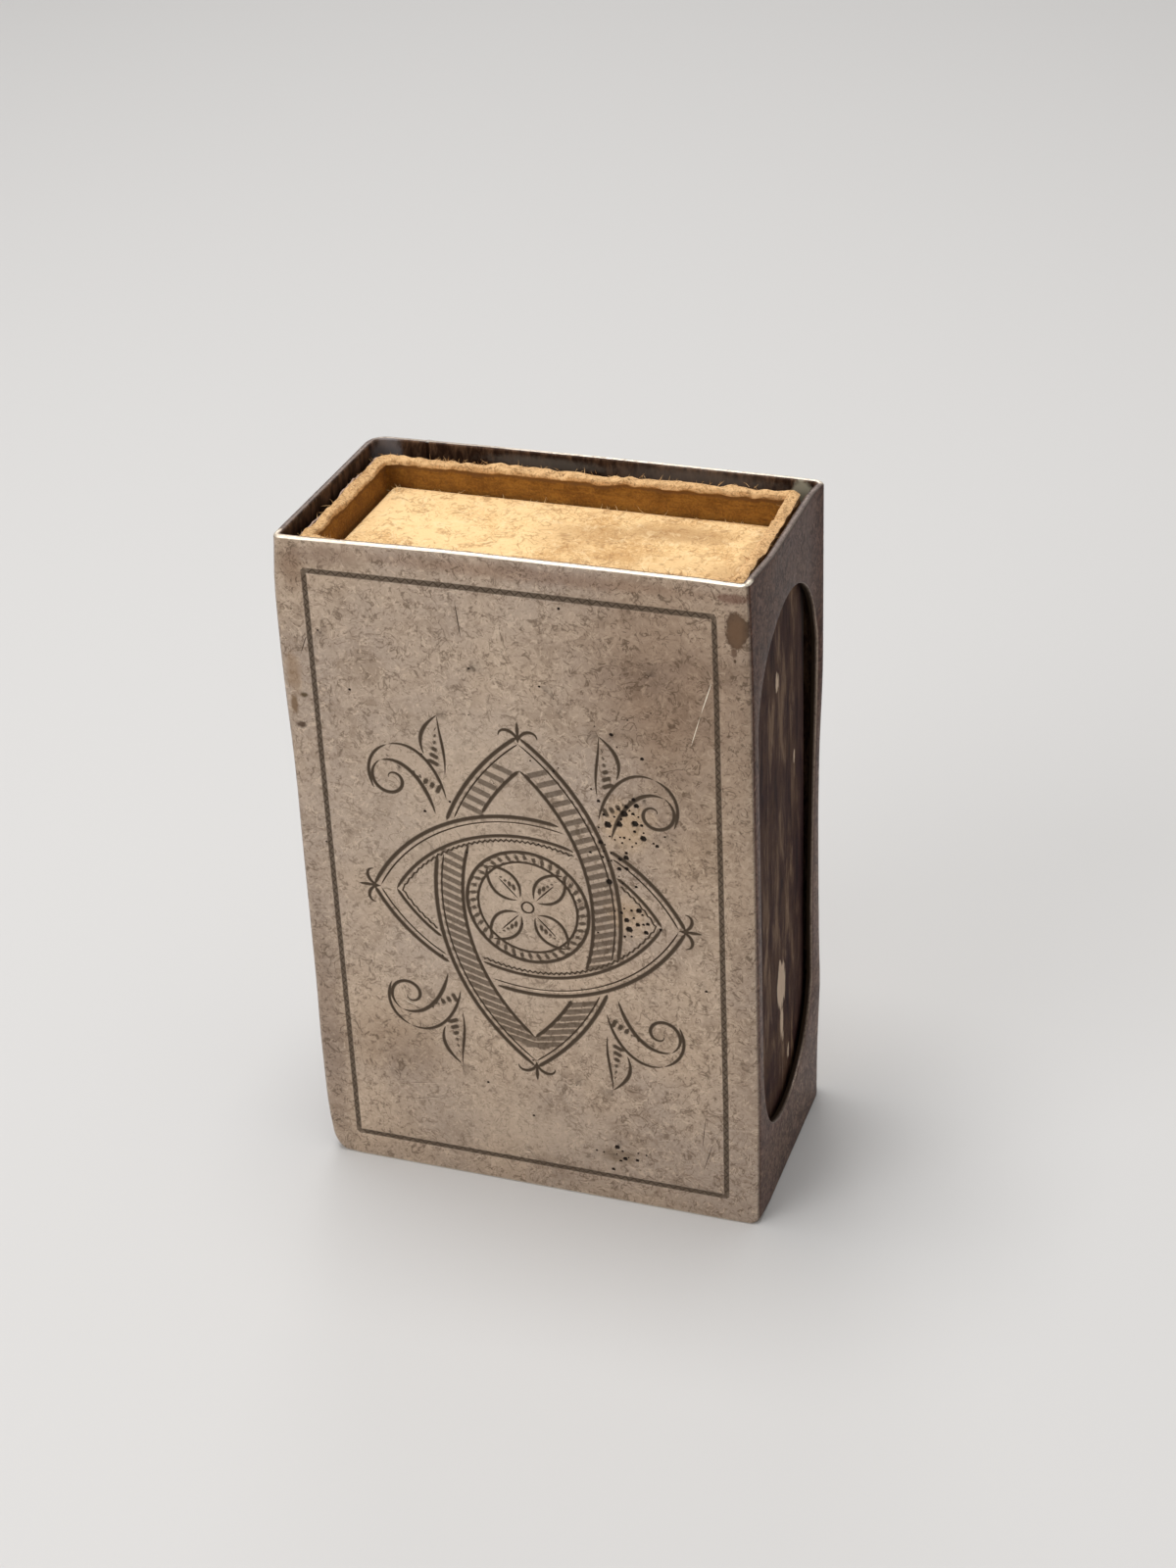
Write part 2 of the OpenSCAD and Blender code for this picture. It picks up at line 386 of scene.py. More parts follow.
class Fold:
    """A strip bent round a box, with a radius for each bend. Its seam, if any, is a slit in the back."""

    def __init__(self, half_w, half_d, radii, thickness, least_r, seam=None):
        self.half_w, self.half_d = half_w, half_d
        self.thickness, self.least_r = thickness, least_r
        front_left, front_right, back_right, back_left = radii
        self.hands = {1: self.one_hand(front_right, back_right), -1: self.one_hand(front_left, back_left)}
        self.closed = seam is None
        left_of_seam, right_of_seam = seam or (0, 0)
        self.right_end = self.hands[1]["half_way"] - right_of_seam
        self.left_end = -self.hands[-1]["half_way"] - left_of_seam

    def one_hand(self, front_r, back_r):
        """How far along the strip each stretch begins, from the middle of the front to one hand."""
        hand = {"front_r": front_r, "back_r": back_r, "bend_1": self.half_w - front_r}
        hand["side"] = hand["bend_1"] + math.pi / 2 * front_r
        hand["middle"] = hand["side"] + self.half_d - front_r
        hand["bend_2"] = hand["middle"] + self.half_d - back_r
        hand["back"] = hand["bend_2"] + math.pi / 2 * back_r
        hand["half_way"] = hand["back"] + self.half_w - back_r
        return hand

    def columns(self, net, bend_steps):
        """Distances along the strip: evenly spaced on the flats, close together in the bends."""
        spots = []
        for sign, hand in self.hands.items():
            stretches = [0, *(hand[k] for k in ("bend_1", "side", "bend_2", "back", "half_way"))]
            for i, (start, end) in enumerate(zip(stretches[:-1], stretches[1:])):
                steps = bend_steps if i in (1, 3) else max(1, round((end - start) / net))
                spots += list(sign * np.linspace(start, end, steps + 1))
        spots += list(np.arange(self.hands[1]["half_way"] + net, self.right_end, net))
        room = net / 4
        inside = [s for s in spots if self.left_end + room < s < self.right_end - room]
        ends = [self.left_end] if self.closed else [self.left_end, self.right_end]
        return np.unique(np.round(inside + ends, 5))

    def section(self, u, inset):
        """Where the points are across the box, for distances u and depths under the outer face."""
        share = np.clip(inset / self.thickness, 0, 1)
        run = np.abs(u)
        places = {}

        def along(start, end):
            return np.clip((run - start) / (end - start), 0, 1)

        for sign, hand in self.hands.items():
            inner_1 = max(hand["front_r"] - self.thickness, self.least_r)
            inner_2 = max(hand["back_r"] - self.thickness, self.least_r)
            r1 = hand["front_r"] + (inner_1 - hand["front_r"]) * share
            r2 = hand["back_r"] + (inner_2 - hand["back_r"]) * share
            turn_1 = along(hand["bend_1"], hand["side"]) * math.pi / 2
            turn_2 = along(hand["bend_2"], hand["back"]) * math.pi / 2
            front = along(0, hand["bend_1"]) * (self.half_w - inset - r1)
            side = along(hand["side"], hand["bend_2"])
            back = np.maximum(run - hand["back"], 0) / (hand["half_way"] - hand["back"])
            x = front + r1 * np.sin(turn_1) - r2 * (1 - np.cos(turn_2)) - back * (self.half_w - inset - r2)
            y = inset - self.half_d + r1 * (1 - np.cos(turn_1)) + r2 * np.sin(turn_2)
            y = y + side * (2 * (self.half_d - inset) - r1 - r2)
            places[sign] = (sign * x, y)
        x = np.where(u < 0, places[-1][0], places[1][0])
        return x, np.where(u < 0, places[-1][1], places[1][1])


sleeve_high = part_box("silver_sleeve")[1]
seam_low, seam_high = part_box("seam_solder")
SHEET_T = 0.6
BEND_RADII = (0.7, 0.7, 1.1, 1.6)
LEAST_R = 0.1
HALF_W, HALF_D, SLEEVE_H = (size / MM for size in sleeve_high)
sheet = Fold(HALF_W, HALF_D, BEND_RADII, SHEET_T, LEAST_R, (seam_low.x / MM, seam_high.x / MM))
WINDOW_MIDDLES = (-sheet.hands[-1]["middle"], sheet.hands[1]["middle"])
print("sheet before bending:", round(sheet.right_end - sheet.left_end, 2), "by", round(SLEEVE_H, 2), "mm")

# %% [markdown]
# ## The engraver's strokes
# An engraver's cut is a V-shaped groove that swells and tapers, or a flat-floored one where a broad
# tool shades. Each one is kept as a line of points on the sheet, with a width at every point. A bump
# texture could fake the grooves, but real grooves catch the light at their walls from every side, so
# the strokes become part of the mesh.

# %% Strokes
POINT_SHARE = 0.12
strokes = []


def cut(points, width, depth=0.07, tone=1.0, taper=0.25, bare=0.0, flat=0.0):
    """One groove along the points, in mm.

    The tone says how dark it is and bare how bright. It narrows over the taper, a share of its
    length, towards both ends. Flat is the share of its width that is floor.
    """
    points = np.array(points, float)
    steps = np.linalg.norm(np.diff(points, axis=0), axis=1)
    along = np.concatenate([[0], np.cumsum(steps)]) / steps.sum()
    nearest_end = np.minimum(along, 1 - along)
    swell = np.clip(nearest_end / taper, 0, 1) ** 0.7 if taper else np.ones(len(points))
    half = width / 2 * (POINT_SHARE + (1 - POINT_SHARE) * swell)
    strokes.append(dict(points=points, half=half, depth=depth, tone=tone, bare=bare, flat=flat))


def straight(start, end, spacing):
    """Points on a straight line, about as far apart as the spacing."""
    start, end = np.array(start, float), np.array(end, float)
    count = max(3, int(round(np.linalg.norm(end - start) / spacing)) + 1)
    return start + (end - start) * np.linspace(0, 1, count)[:, None]


def arc(centre, radius, start, end, count):
    """Points on an arc, with its angles in degrees."""
    angles = np.radians(np.linspace(start, end, count))
    return np.stack([centre[0] + radius * np.cos(angles), centre[1] + radius * np.sin(angles)], 1)


def curve(a, b, c, d, count=18):
    """Points on a Bezier curve."""
    t = np.linspace(0, 1, count)[:, None]
    a, b, c, d = (np.array(p, float) for p in (a, b, c, d))
    return a * (1 - t) ** 3 + 3 * b * t * (1 - t) ** 2 + 3 * c * t * t * (1 - t) + d * t**3


# %% [markdown]
# ### The border
# The border is a narrow shallow band with a flat floor. Along it runs wriggle work, the zigzag that an
# engraver makes by rocking a flat tool from corner to corner as it moves forward, so that from afar it
# reads as one dark line.

# %% Border
BORDER_LEFT = -16.9
BORDER_RIGHT = 16.5
BORDER_LOW = 2.2
BORDER_HIGH = 56.1
BORDER_BAND = 0.55
BORDER_SPACING = 0.5
WRIGGLE_STEP = 0.38
WRIGGLE_REACH = 0.6 * BORDER_BAND
WRIGGLE_WIDTH = 0.15


def swaying(line, reach):
    """The reach to one side and to the other, in turn, for each point of a line."""
    return np.where(np.arange(len(line)) % 2 == 0, -reach, reach)


def wriggle(start, end, reach):
    """A zigzag along a line, swinging the reach from side to side."""
    line = straight(start, end, WRIGGLE_STEP)
    along = (line[-1] - line[0]) / np.linalg.norm(line[-1] - line[0])
    across = np.array([-along[1], along[0]])
    return line + across * (swaying(line, 0.5) * reach)[:, None]


def draw_border():
    corners = [
        (BORDER_LEFT, BORDER_LOW),
        (BORDER_RIGHT, BORDER_LOW),
        (BORDER_RIGHT, BORDER_HIGH),
        (BORDER_LEFT, BORDER_HIGH),
    ]
    inward = [(1, 1), (-1, 1), (-1, -1), (1, -1)]
    for i in range(4):
        j = (i + 1) % 4
        start, end = np.array(corners[i]), np.array(corners[j])
        step_a, step_b = np.array(inward[i]) * BORDER_BAND, np.array(inward[j]) * BORDER_BAND
        line = straight(start + step_a / 2, end + step_b / 2, BORDER_SPACING)
        cut(line, BORDER_BAND, depth=0.02, tone=0.40, taper=0, flat=0.72)
        zigzag = wriggle(line[0], line[-1], WRIGGLE_REACH)
        cut(zigzag, WRIGGLE_WIDTH, depth=0.05, tone=0.7, taper=0)


draw_border()
print("border strokes:", len(strokes))

# %% [markdown]
# ### The knot
# The middle of the front holds a knot of strapwork: an upright and a lying pointed oval, each a
# ribbon with two edges, which pass over and under each other. The upright one is shaded with slanting
# cuts, and the lying one has a milled line. A gap is left in the under ribbon wherever the other one
# passes over it, because an engraver can't draw what is hidden.

# %% Pointed ovals
CENTRE = np.array([0.1, 28.0])
UPRIGHT = {"across": 7.8, "along": 15.6, "ribbon": 2.3}
LYING = {"across": 8.3, "along": 13.2, "ribbon": 1.75}
CLEAR = 0.22


def oval_arc(oval, grow):
    """The radius of a pointed oval's two arcs, and how far their centres are shifted."""
    radius = (oval["across"] ** 2 + oval["along"] ** 2) / (2 * oval["across"])
    return radius + grow, radius - oval["across"]


def inside_oval(p, oval, upright, grow):
    """Which points lie in a pointed oval that is made larger by grow."""
    radius, shift = oval_arc(oval, grow)
    near, far = (p[:, 0], p[:, 1]) if upright else (p[:, 1], p[:, 0])
    return (np.abs(near) + shift) ** 2 + far**2 < radius**2


def on_ribbon(p, oval, upright):
    """Which points lie on the ribbon of an oval, or too close beside it."""
    hole = inside_oval(p, oval, upright, -oval["ribbon"] - CLEAR)
    return inside_oval(p, oval, upright, CLEAR) & ~hole


def upright_on_top(p):
    """The upright ribbon is on top in two opposite quarters, so that the knot weaves."""
    return p[:, 0] * p[:, 1] > 0


def visible_runs(points, hidden):
    """The stretches of a line that aren't hidden."""
    runs = [[]]
    for point, gone in zip(points, hidden):
        if gone:
            runs.append([])
        else:
            runs[-1].append(point)
    return [np.array(run) for run in runs if len(run) > 2]


def oval_line(oval, upright, grow, side, count=100):
    """One arc of a pointed oval, from tip to tip."""
    radius, shift = oval_arc(oval, grow)
    reach = math.sqrt(radius**2 - shift**2)
    far = np.linspace(-reach, reach, count)
    near = side * (np.sqrt(radius**2 - far**2) - shift)
    return np.stack([near, far], 1) if upright else np.stack([far, near], 1)


def draw_oval(oval, other, upright, grow, width):
    """Both arcs of an oval, left out wherever they pass under the other ribbon."""
    for side in (-1, 1):
        line = oval_line(oval, upright, grow, side)
        under = upright_on_top(line) != upright
        for run in visible_runs(line, on_ribbon(line, other, not upright) & under):
            cut(run + CENTRE, width, taper=0.04)


FINE_LINE = 0.50
OUTER_WIDTH, FINE_WIDTH, INNER_WIDTH = 0.50, 0.18, 0.42
for oval, other, upright in ((UPRIGHT, LYING, True), (LYING, UPRIGHT, False)):
    draw_oval(oval, other, upright, 0, OUTER_WIDTH)
    draw_oval(oval, other, upright, -FINE_LINE, FINE_WIDTH)
    draw_oval(oval, other, upright, -oval["ribbon"], INNER_WIDTH)
print("strokes with the ovals:", len(strokes))

# %% Shading and milling
HATCH_END = 12.9
HATCH_STEP = 0.78
HATCH_SLANT = 0.65
HATCH_WIDTH = 0.58
MILLING_INSET = 0.42
MILLING_SWAY = 0.11


def hatch_upright():
    """Broad slanting cuts across the ribbon, left out where it passes under."""
    outer_r, outer_shift = oval_arc(UPRIGHT, -FINE_LINE)
    inner_r, inner_shift = oval_arc(UPRIGHT, -UPRIGHT["ribbon"] + 0.1)
    for side in (-1, 1):
        for z in np.arange(-HATCH_END, HATCH_END, HATCH_STEP):
            lower = z - HATCH_SLANT
            outer = (side * (math.sqrt(outer_r**2 - z**2) - outer_shift), z)
            inner = (side * (math.sqrt(inner_r**2 - lower**2) - inner_shift), lower)
            line = straight(outer, inner, 0.2)
            hidden = on_ribbon(line, LYING, False) & ~upright_on_top(line)
            if not hidden.any():
                cut(line + CENTRE, HATCH_WIDTH, depth=0.03, tone=0.36, taper=0, flat=0.7)


def mill_lying():
    """A fine zigzag just inside the inner edge, like the milled edge of a coin."""
    for side in (-1, 1):
        line = oval_line(LYING, False, -LYING["ribbon"] - MILLING_INSET, side, 96)
        sway = swaying(line, MILLING_SWAY)
        line = line + np.stack([0 * sway, sway], 1)
        hidden = on_ribbon(line, UPRIGHT, True) & upright_on_top(line)
        for run in visible_runs(line, hidden):
            cut(run + CENTRE, 0.2, depth=0.05, taper=0)


hatch_upright()
mill_lying()
print("strokes with shading and milling:", len(strokes))

# %% [markdown]
# ### Scrolls, flower and finials
# Scrolls spring from the crossings and roll up in the corners. They and the petals are drawn once,
# for the upper right quarter, and mirrored into the other three, as a transfer paper would be turned
# over. A ring of radial cuts closes the flower, and a finial sits on each tip of the knot.

# %% Scrolls, flower and finials
QUARTERS = [np.array(q, float) for q in ((1, 1), (-1, 1), (-1, -1), (1, -1))]
EYE_R = 0.2
RING_R = 5.15
RING_BAND = 0.95
RING_STEP = 9


def roll_up(start, eye, turns, count=40):
    """A line that rolls up in a spiral from its start towards its eye."""
    angle = math.atan2(start[1] - eye[1], start[0] - eye[0])
    reach = math.dist(start, eye)
    t = np.linspace(0, 1, count)
    radius = EYE_R + (reach - EYE_R) * (1 - t) ** 0.85
    angles = angle - turns * 2 * math.pi * t
    return np.stack([eye[0] + radius * np.cos(angles), eye[1] + radius * np.sin(angles)], 1)


def shade(draw, root, along, reach, count, width=0.52):
    """A row of short broad cuts that get shorter along the way."""
    root, along, reach = (np.array(p, float) for p in (root, along, reach))
    for share in np.linspace(0, 1, count):
        start = root + along * share
        line = straight(start, start + reach * (1.15 - share), 0.3)
        draw(line, width, depth=0.03, tone=0.5, taper=0.1, flat=0.5)


def mirrored(mirror):
    """A way to cut strokes in one quarter of the ornament."""
    return lambda line, width, **stroke: cut(line * mirror + CENTRE, width, **stroke)


def draw_scroll(draw):
    draw(curve((7.3, 7.5), (7.9, 10.2), (9.6, 12.6), (11.7, 11.9)), 0.50)
    draw(roll_up((11.7, 11.9), (10.9, 10.3), 1.1), 0.44)
    draw(curve((6.3, 9.0), (6.7, 11.6), (8.6, 14.3), (11.0, 13.4)), 0.38)
    draw(curve((11.0, 13.4), (12.7, 12.7), (13.2, 10.9), (12.4, 9.2)), 0.38)
    draw(curve((7.9, 12.9), (8.6, 14.6), (7.7, 15.7), (6.6, 16.6)), 0.48, taper=0.4)
    draw(curve((6.6, 16.6), (6.6, 14.8), (6.0, 13.2), (6.3, 11.2)), 0.34, taper=0.4)
    shade(draw, (6.55, 12.0), (0.2, 3.3), (1.05, 0.5), 6)
    shade(draw, (7.15, 9.4), (3.9, 2.9), (-0.4, 0.85), 9)


def draw_petal(draw):
    tip = (3.25, 3.4)
    draw(curve((0.6, 0.8), (0.3, 2.5), (1.5, 3.6), tip), 0.38)
    draw(curve((0.8, 0.6), (2.5, 0.3), (3.5, 1.6), tip), 0.38)
    draw(straight((0.7, 0.7), (2.4, 2.5), 0.4), 0.16)
    shade(draw, (1.0, 1.25), (1.5, 1.5), (0.15, 0.85), 5, 0.4)


def draw_ring(radius, band):
    """A ring round the flower, with radial cuts between its two edges."""
    cut(arc(CENTRE, radius, 0, 360, 64), 0.42, taper=0)
    cut(arc(CENTRE, radius - band, 0, 360, 56), 0.30, taper=0)
    for angle in np.radians(np.arange(0, 360, RING_STEP)):
        way = np.array([math.cos(angle), math.sin(angle)])
        lean = np.array([-way[1], way[0]]) * 0.12
        start, end = way * (radius - band + 0.16) - lean, way * (radius - 0.24) + lean
        cut(straight(start, end, 0.2) + CENTRE, 0.42, depth=0.03, tone=0.45, taper=0, flat=0.6)


def draw_finial(tip, way):
    """Two small leaves and a peck at a tip of the knot."""
    tip, way = np.array(tip, float), np.array(way, float)
    side = np.array([-way[1], way[0]])
    for hand in (-1, 1):
        start = tip - way * 0.6
        end = tip - way * 0.1 + side * hand * 1.6
        cut(curve(start, start + way * 1.2, end + way * 1.0, end) + CENTRE, 0.42, taper=0.4)
    cut(straight(tip - way * 0.2, tip + way * 1.4, 0.3) + CENTRE, 0.42, taper=0.4)


for quarter in QUARTERS:
    draw_scroll(mirrored(quarter))
    draw_petal(mirrored(quarter))
draw_ring(RING_R, RING_BAND)
cut(arc(CENTRE, 0.5, 0, 360, 20), 0.24, taper=0)
for way in ((0, 1), (0, -1), (1, 0), (-1, 0)):
    draw_finial(np.array(way) * (LYING["along"], UPRIGHT["along"]), way)
print("all strokes of the ornament:", len(strokes))

# %% [markdown]
# ## Scratches and pits
# Years in a pocket have left a few long scratches. Salts have also eaten small black pits into the
# front, most of them in a few patches right of the knot. Their places are drawn at random from a
# fixed seed, so that every run gives the same holder.

# %% Scratches and pits
# Each scratch is its two ends, its width, its tone and how bare it is.
SCRATCHES = [
    ((-4.35, 54.9), (-4.0, 51.4), 0.15, 0.9, 0),
    ((-12.9, 8.3), (-8.6, 9.05), 0.10, 0.5, 0),
    ((-12.2, 6.6), (-7.5, 7.96), 0.10, 0.6, 0),
    ((14.6, 10.6), (14.2, 6.7), 0.10, 0.6, 0),
    ((15.2, 7.9), (14.2, 4.4), 0.10, 0.6, 0),
    ((-16.7, 50.9), (-17.5, 48.2), 0.10, 0.7, 0),
    ((-10.6, 15.2), (-7.9, 13.9), 0.08, 0.4, 0),
    ((15.9, 50.6), (14.9, 47.6), 0.13, 0, 1.0),
    ((14.9, 47.6), (14.0, 44.6), 0.12, 0, 0.8),
    ((-11.9, 17.3), (-9.9, 16.5), 0.12, 0, 0.6),
]
# Each patch is its middle, its spread, the number of pits tried and their usual radius.
PIT_PATCHES = [
    ((8.7, 37.3), (1.2, 1.0), 60, 0.22),
    ((7.7, 33.8), (0.9, 1.5), 22, 0.20),
    ((8.6, 28.6), (0.9, 1.0), 26, 0.22),
    ((7.0, 4.6), (0.9, 0.5), 20, 0.18),
    ((0.0, 30.0), (11.0, 16.0), 40, 0.09),
    ((6.5, 44.0), (3.5, 3.0), 12, 0.12),
]
for start, end, width, tone, bare in SCRATCHES:
    cut(straight(start, end, 0.9), width, depth=0.03, tone=tone, taper=0.4, bare=bare)

FRONT_REACH = 17.0
PIT_GAP = 0.02
pit_draw = np.random.default_rng(11)
pits = []
for centre, spread, count, usual_radius in PIT_PATCHES:
    for _ in range(count):
        place = pit_draw.normal(centre, spread)
        radius = usual_radius * (0.45 + 1.2 * pit_draw.random() ** 2)
        inside = abs(place[0]) < FRONT_REACH and 1 < place[1] < SLEEVE_H - 1
        clear = all(math.dist(place, p[0]) > radius + p[1] + PIT_GAP for p in pits)
        if inside and clear:
            pits.append((place, radius, 0.07 + 0.5 * radius))
print("scratches:", len(SCRATCHES), "pits:", len(pits))

# %% [markdown]
# ## From strokes to a mesh
# The sheet is cut into triangles by a constrained Delaunay triangulation. It takes the outline of
# every groove, its middle line or its floor, the windows and a loose net of points, and joins them so
# that every given line is an edge of the mesh. So the fine triangles lie only where the engraver has
# been.

# %% A drawing to triangulate
RIM_R = 0.16
WINDOW_EDGE_R = 0.12
WINDOW_R = HALF_D - 1.6
WINDOW_LOW = 6.2
WINDOW_HIGH = SLEEVE_H - 5.1
WINDOW_MARGIN = 0.15
NET = 1.6
BEND_STEPS = 8
columns = sheet.columns(NET, BEND_STEPS)
near_rim = RIM_R + np.array([0, 0.18, 0.42, 0.75, 1.15])
rows = np.linspace(RIM_R + NET, SLEEVE_H - RIM_R - NET, int(SLEEVE_H / NET) - 1)
rows = np.concatenate([near_rim, rows, (SLEEVE_H - near_rim)[::-1]])


class Drawing:
    """Points and lines on the flat sheet, for the triangulation."""

    def __init__(self):
        self.points = []
        self.lines = []

    def add(self, points, closed=False, joined=True):
        start = len(self.points)
        count = len(points)
        self.points += [tuple(map(float, p)) for p in points]
        if joined:
            self.lines += [(start + i, start + i + 1) for i in range(count - 1)]
        if closed:
            self.lines.append((start + count - 1, start))
        return np.arange(start, start + count)

    def triangles(self):
        """Corner points, triangles, and where each given point has gone."""
        result = delaunay_2d_cdt(self.points, self.lines, [], 0, 1e-6, True)
        where = np.zeros(len(self.points), int)
        for new, olds in enumerate(result[3]):
            where[olds] = new
        corners = np.array([tuple(p) for p in result[0]])
        return corners, np.array([list(face) for face in result[2]]), where


def window_outline(middle, grow):
    """A window on the sheet: two half circles joined by straight sides, made larger by grow."""
    low_z, high_z = WINDOW_LOW + WINDOW_R, WINDOW_HIGH - WINDOW_R
    reach = WINDOW_R + grow
    right = straight((middle + reach, low_z), (middle + reach, high_z), NET)[:-1]
    top = arc((middle, high_z), reach, 0, 180, 49)[:-1]
    left = straight((middle - reach, high_z), (middle - reach, low_z), NET)[:-1]
    base = arc((middle, low_z), reach, 180, 360, 49)[:-1]
    return np.concatenate([right, top, left, base])


def in_window(points, grow):
    """Which points of the sheet lie in a window that is made larger by grow."""
    across = np.min([np.abs(points[:, 0] - middle) for middle in WINDOW_MIDDLES], axis=0)
    nearest_z = np.clip(points[:, 1], WINDOW_LOW + WINDOW_R, WINDOW_HIGH - WINDOW_R)
    return np.hypot(across, points[:, 1] - nearest_z) < WINDOW_R + grow


print("net:", len(columns), "columns,", len(rows), "rows")

# %% Grooves and pits in the drawing


def add_stroke(drawing, stroke):
    """The outline of a groove, and in it the middle line or the outline of its floor."""
    points, half = stroke["points"], stroke["half"]
    along = np.gradient(points, axis=0)
    along /= np.linalg.norm(along, axis=1)[:, None]
    across = np.stack([-along[:, 1], along[:, 0]], 1) * half[:, None]
    if np.allclose(points[0], points[-1]):
        for line in (points + across, points - across, points):
            drawing.add(line[:-1], closed=True)
    else:
        drawing.add(np.concatenate([points + across, (points - across)[::-1]]), closed=True)
        floor = across[1:-1] * stroke["flat"]
        middle = points[1:-1]
        if stroke["flat"]:
            drawing.add(np.concatenate([middle + floor, (middle - floor)[::-1]]), closed=True)
        else:
            drawing.add(middle)


def add_pit(drawing, place, radius):
    """A ragged outline and a smaller one for the floor of a pit."""
    ragged = 1 + 0.3 * waves([(*place, i) for i in range(6)], 0.37, 21)[:, None]
    drawing.add(place + (arc(place, radius, 0, 300, 6) - place) * ragged, closed=True)
    drawing.add(arc(place, radius * 0.45, 30, 330, 6), closed=True)


def sheet_face(engraved_side):
    """One face of the flat sheet as triangles, with the numbers of the points on its borders."""
    drawing = Drawing()
    ends = drawing.add([(u, z) for z in (rows[0], rows[-1]) for u in columns], joined=False)
    low_row, high_row = ends[: len(columns)], ends[len(columns) :]
    sides = {}
    for u in columns:
        net = np.array([(u, z) for z in rows[1:-1]])
        sides[u] = drawing.add(net[~in_window(net, WINDOW_EDGE_R + WINDOW_MARGIN)], joined=False)
    for row in (low_row, high_row):
        drawing.lines += list(zip(row[:-1], row[1:]))
    for i, u in enumerate(columns):
        line = [low_row[i], *sides[u], high_row[i]]
        hand = sheet.hands[1 if u > 0 else -1]
        in_bend = hand["bend_1"] <= abs(u) + 0.01 and abs(u) - 0.01 <= hand["back"]
        clear = not in_window(np.array([[u, SLEEVE_H / 2]]), WINDOW_EDGE_R + WINDOW_MARGIN)[0]
        if (in_bend and clear) or i in (0, len(columns) - 1):
            drawing.lines += list(zip(line[:-1], line[1:]))
    outlines = (window_outline(middle, WINDOW_EDGE_R) for middle in WINDOW_MIDDLES)
    windows = [drawing.add(outline, closed=True) for outline in outlines]
    if engraved_side:
        for stroke in strokes:
            add_stroke(drawing, stroke)
        for place, radius, _ in pits:
            add_pit(drawing, place, radius)
    corners, triangles, where = drawing.triangles()
    triangles = triangles[~in_window(corners[triangles].mean(1), WINDOW_EDGE_R)]
    borders = {
        "low": where[low_row],
        "high": where[high_row],
        "left": where[[low_row[0], *sides[columns[0]], high_row[0]]],
        "right": where[[low_row[-1], *sides[columns[-1]], high_row[-1]]],
        "windows": [where[w] for w in windows],
    }
    return corners, triangles, borders


outer, outer_faces, outer_borders = sheet_face(True)
inner, inner_faces, inner_borders = sheet_face(False)
print("outside:", len(outer), "points,", len(outer_faces), "triangles; inside:", len(inner))

# %% [markdown]
# ### How deep is each point?
# A point of the mesh sinks by how near it is to the middle line of a groove. The same number, times
# the tone of the stroke, goes along as a mark, so that the finish can darken the cuts where polish
# never reaches the tarnish.

# %% Depths and marks


def near_line(points, line):
    """Distance from each point to a line, and where along the line, as a number of its points."""
    start, step = line[:-1], np.diff(line, axis=0)
    offset = points[:, None, :] - start[None]
    share = np.clip((offset * step).sum(2) / (step**2).sum(1), 0, 1)
    gap = np.linalg.norm(offset - share[:, :, None] * step, axis=2)
    best = gap.argmin(1)
    each = np.arange(len(points))
    return gap[each, best], best + share[each, best]


def engraved(points):
    """Depth in mm, and how far into a cut, a bare scratch and a pit each point lies."""
    depth, in_cut, bare, in_pit = np.zeros((4, len(points)))
    for stroke in strokes:
        line, half = stroke["points"], stroke["half"]
        margin = half.max() + 1e-6
        boxed = ((points > line.min(0) - margin) & (points < line.max(0) + margin)).all(1)
        chosen = np.flatnonzero(boxed)
        if len(chosen):
            gap, place = near_line(points[chosen], line)
            reach = np.interp(place, np.arange(len(half)), half)
            inward = np.clip((1 - gap / reach) / (1 - stroke["flat"]) + 1e-9, 0, 1)
            sink = stroke["depth"] * inward * reach / half.max()
            depth[chosen] = np.maximum(depth[chosen], sink)
            in_cut[chosen] = np.maximum(in_cut[chosen], stroke["tone"] * inward)
            bare[chosen] = np.maximum(bare[chosen], stroke["bare"] * inward)
    for place, radius, deep in pits:
        gap = np.linalg.norm(points - place, axis=1)
        inward = np.clip((1 - gap / radius) * 1.8, 0, 1)
        depth = np.maximum(depth, deep * inward)
        in_pit = np.maximum(in_pit, inward)
    return depth, {"cut": in_cut, "bare": bare, "pit": in_pit}


outer_depth, outer_marks = engraved(outer)
print("deepest point:", round(outer_depth.max(), 3), "mm")

# %% [markdown]
# ## The tarnished silver
# Old silver isn't grey paint. Under the light it is still metal, but brown and violet films have
# grown on it in clouds, and a fine mottling shows where it was last rubbed. The film is thicker on
# the narrow sides, which fingers don't polish, and thickest inside, where painted shade deepens it
# to near black. Cuts and pits are nearly black, and along the front and the back the filed rim still
# shines, with a painted highlight laid on its polish. Large soft patches of painted shade and one
# broad painted highlight lie on the front, and painted shade darkens the sides towards the top. All
# this is one finish, steered by the marks on the mesh.

# %% Colours, stains, painted shade and painted highlights of old silver
SILVER_WARM = (0.58, 0.447, 0.335)
SILVER_COOL = (0.49, 0.388, 0.312)
SILVER_RUBBED = (0.70, 0.56, 0.43)
FILM_BROWN = (0.33, 0.240, 0.172)
FILM_DARK = (0.21, 0.15, 0.105)
SIDE_PLUM = (0.175, 0.102, 0.082)
SIDE_BROWN = (0.195, 0.118, 0.084)
SIDE_DARK = (0.060, 0.036, 0.030)
SIDE_PALE = (0.34, 0.225, 0.165)
POLISH_AND_HIGHLIGHT_CREAM = (0.90, 0.80, 0.66)
RIM_MAUVE = (0.085, 0.060, 0.058)
LINING_TARNISH_AND_SHADE = (0.026, 0.012, 0.007)
LINING_BROWN = (0.120, 0.066, 0.038)
CUT_DARK = (0.098, 0.070, 0.048)
PIT_DARK = (0.028, 0.017, 0.010)
SIDE_SHADOW = (0.62, 0.50, 0.44)
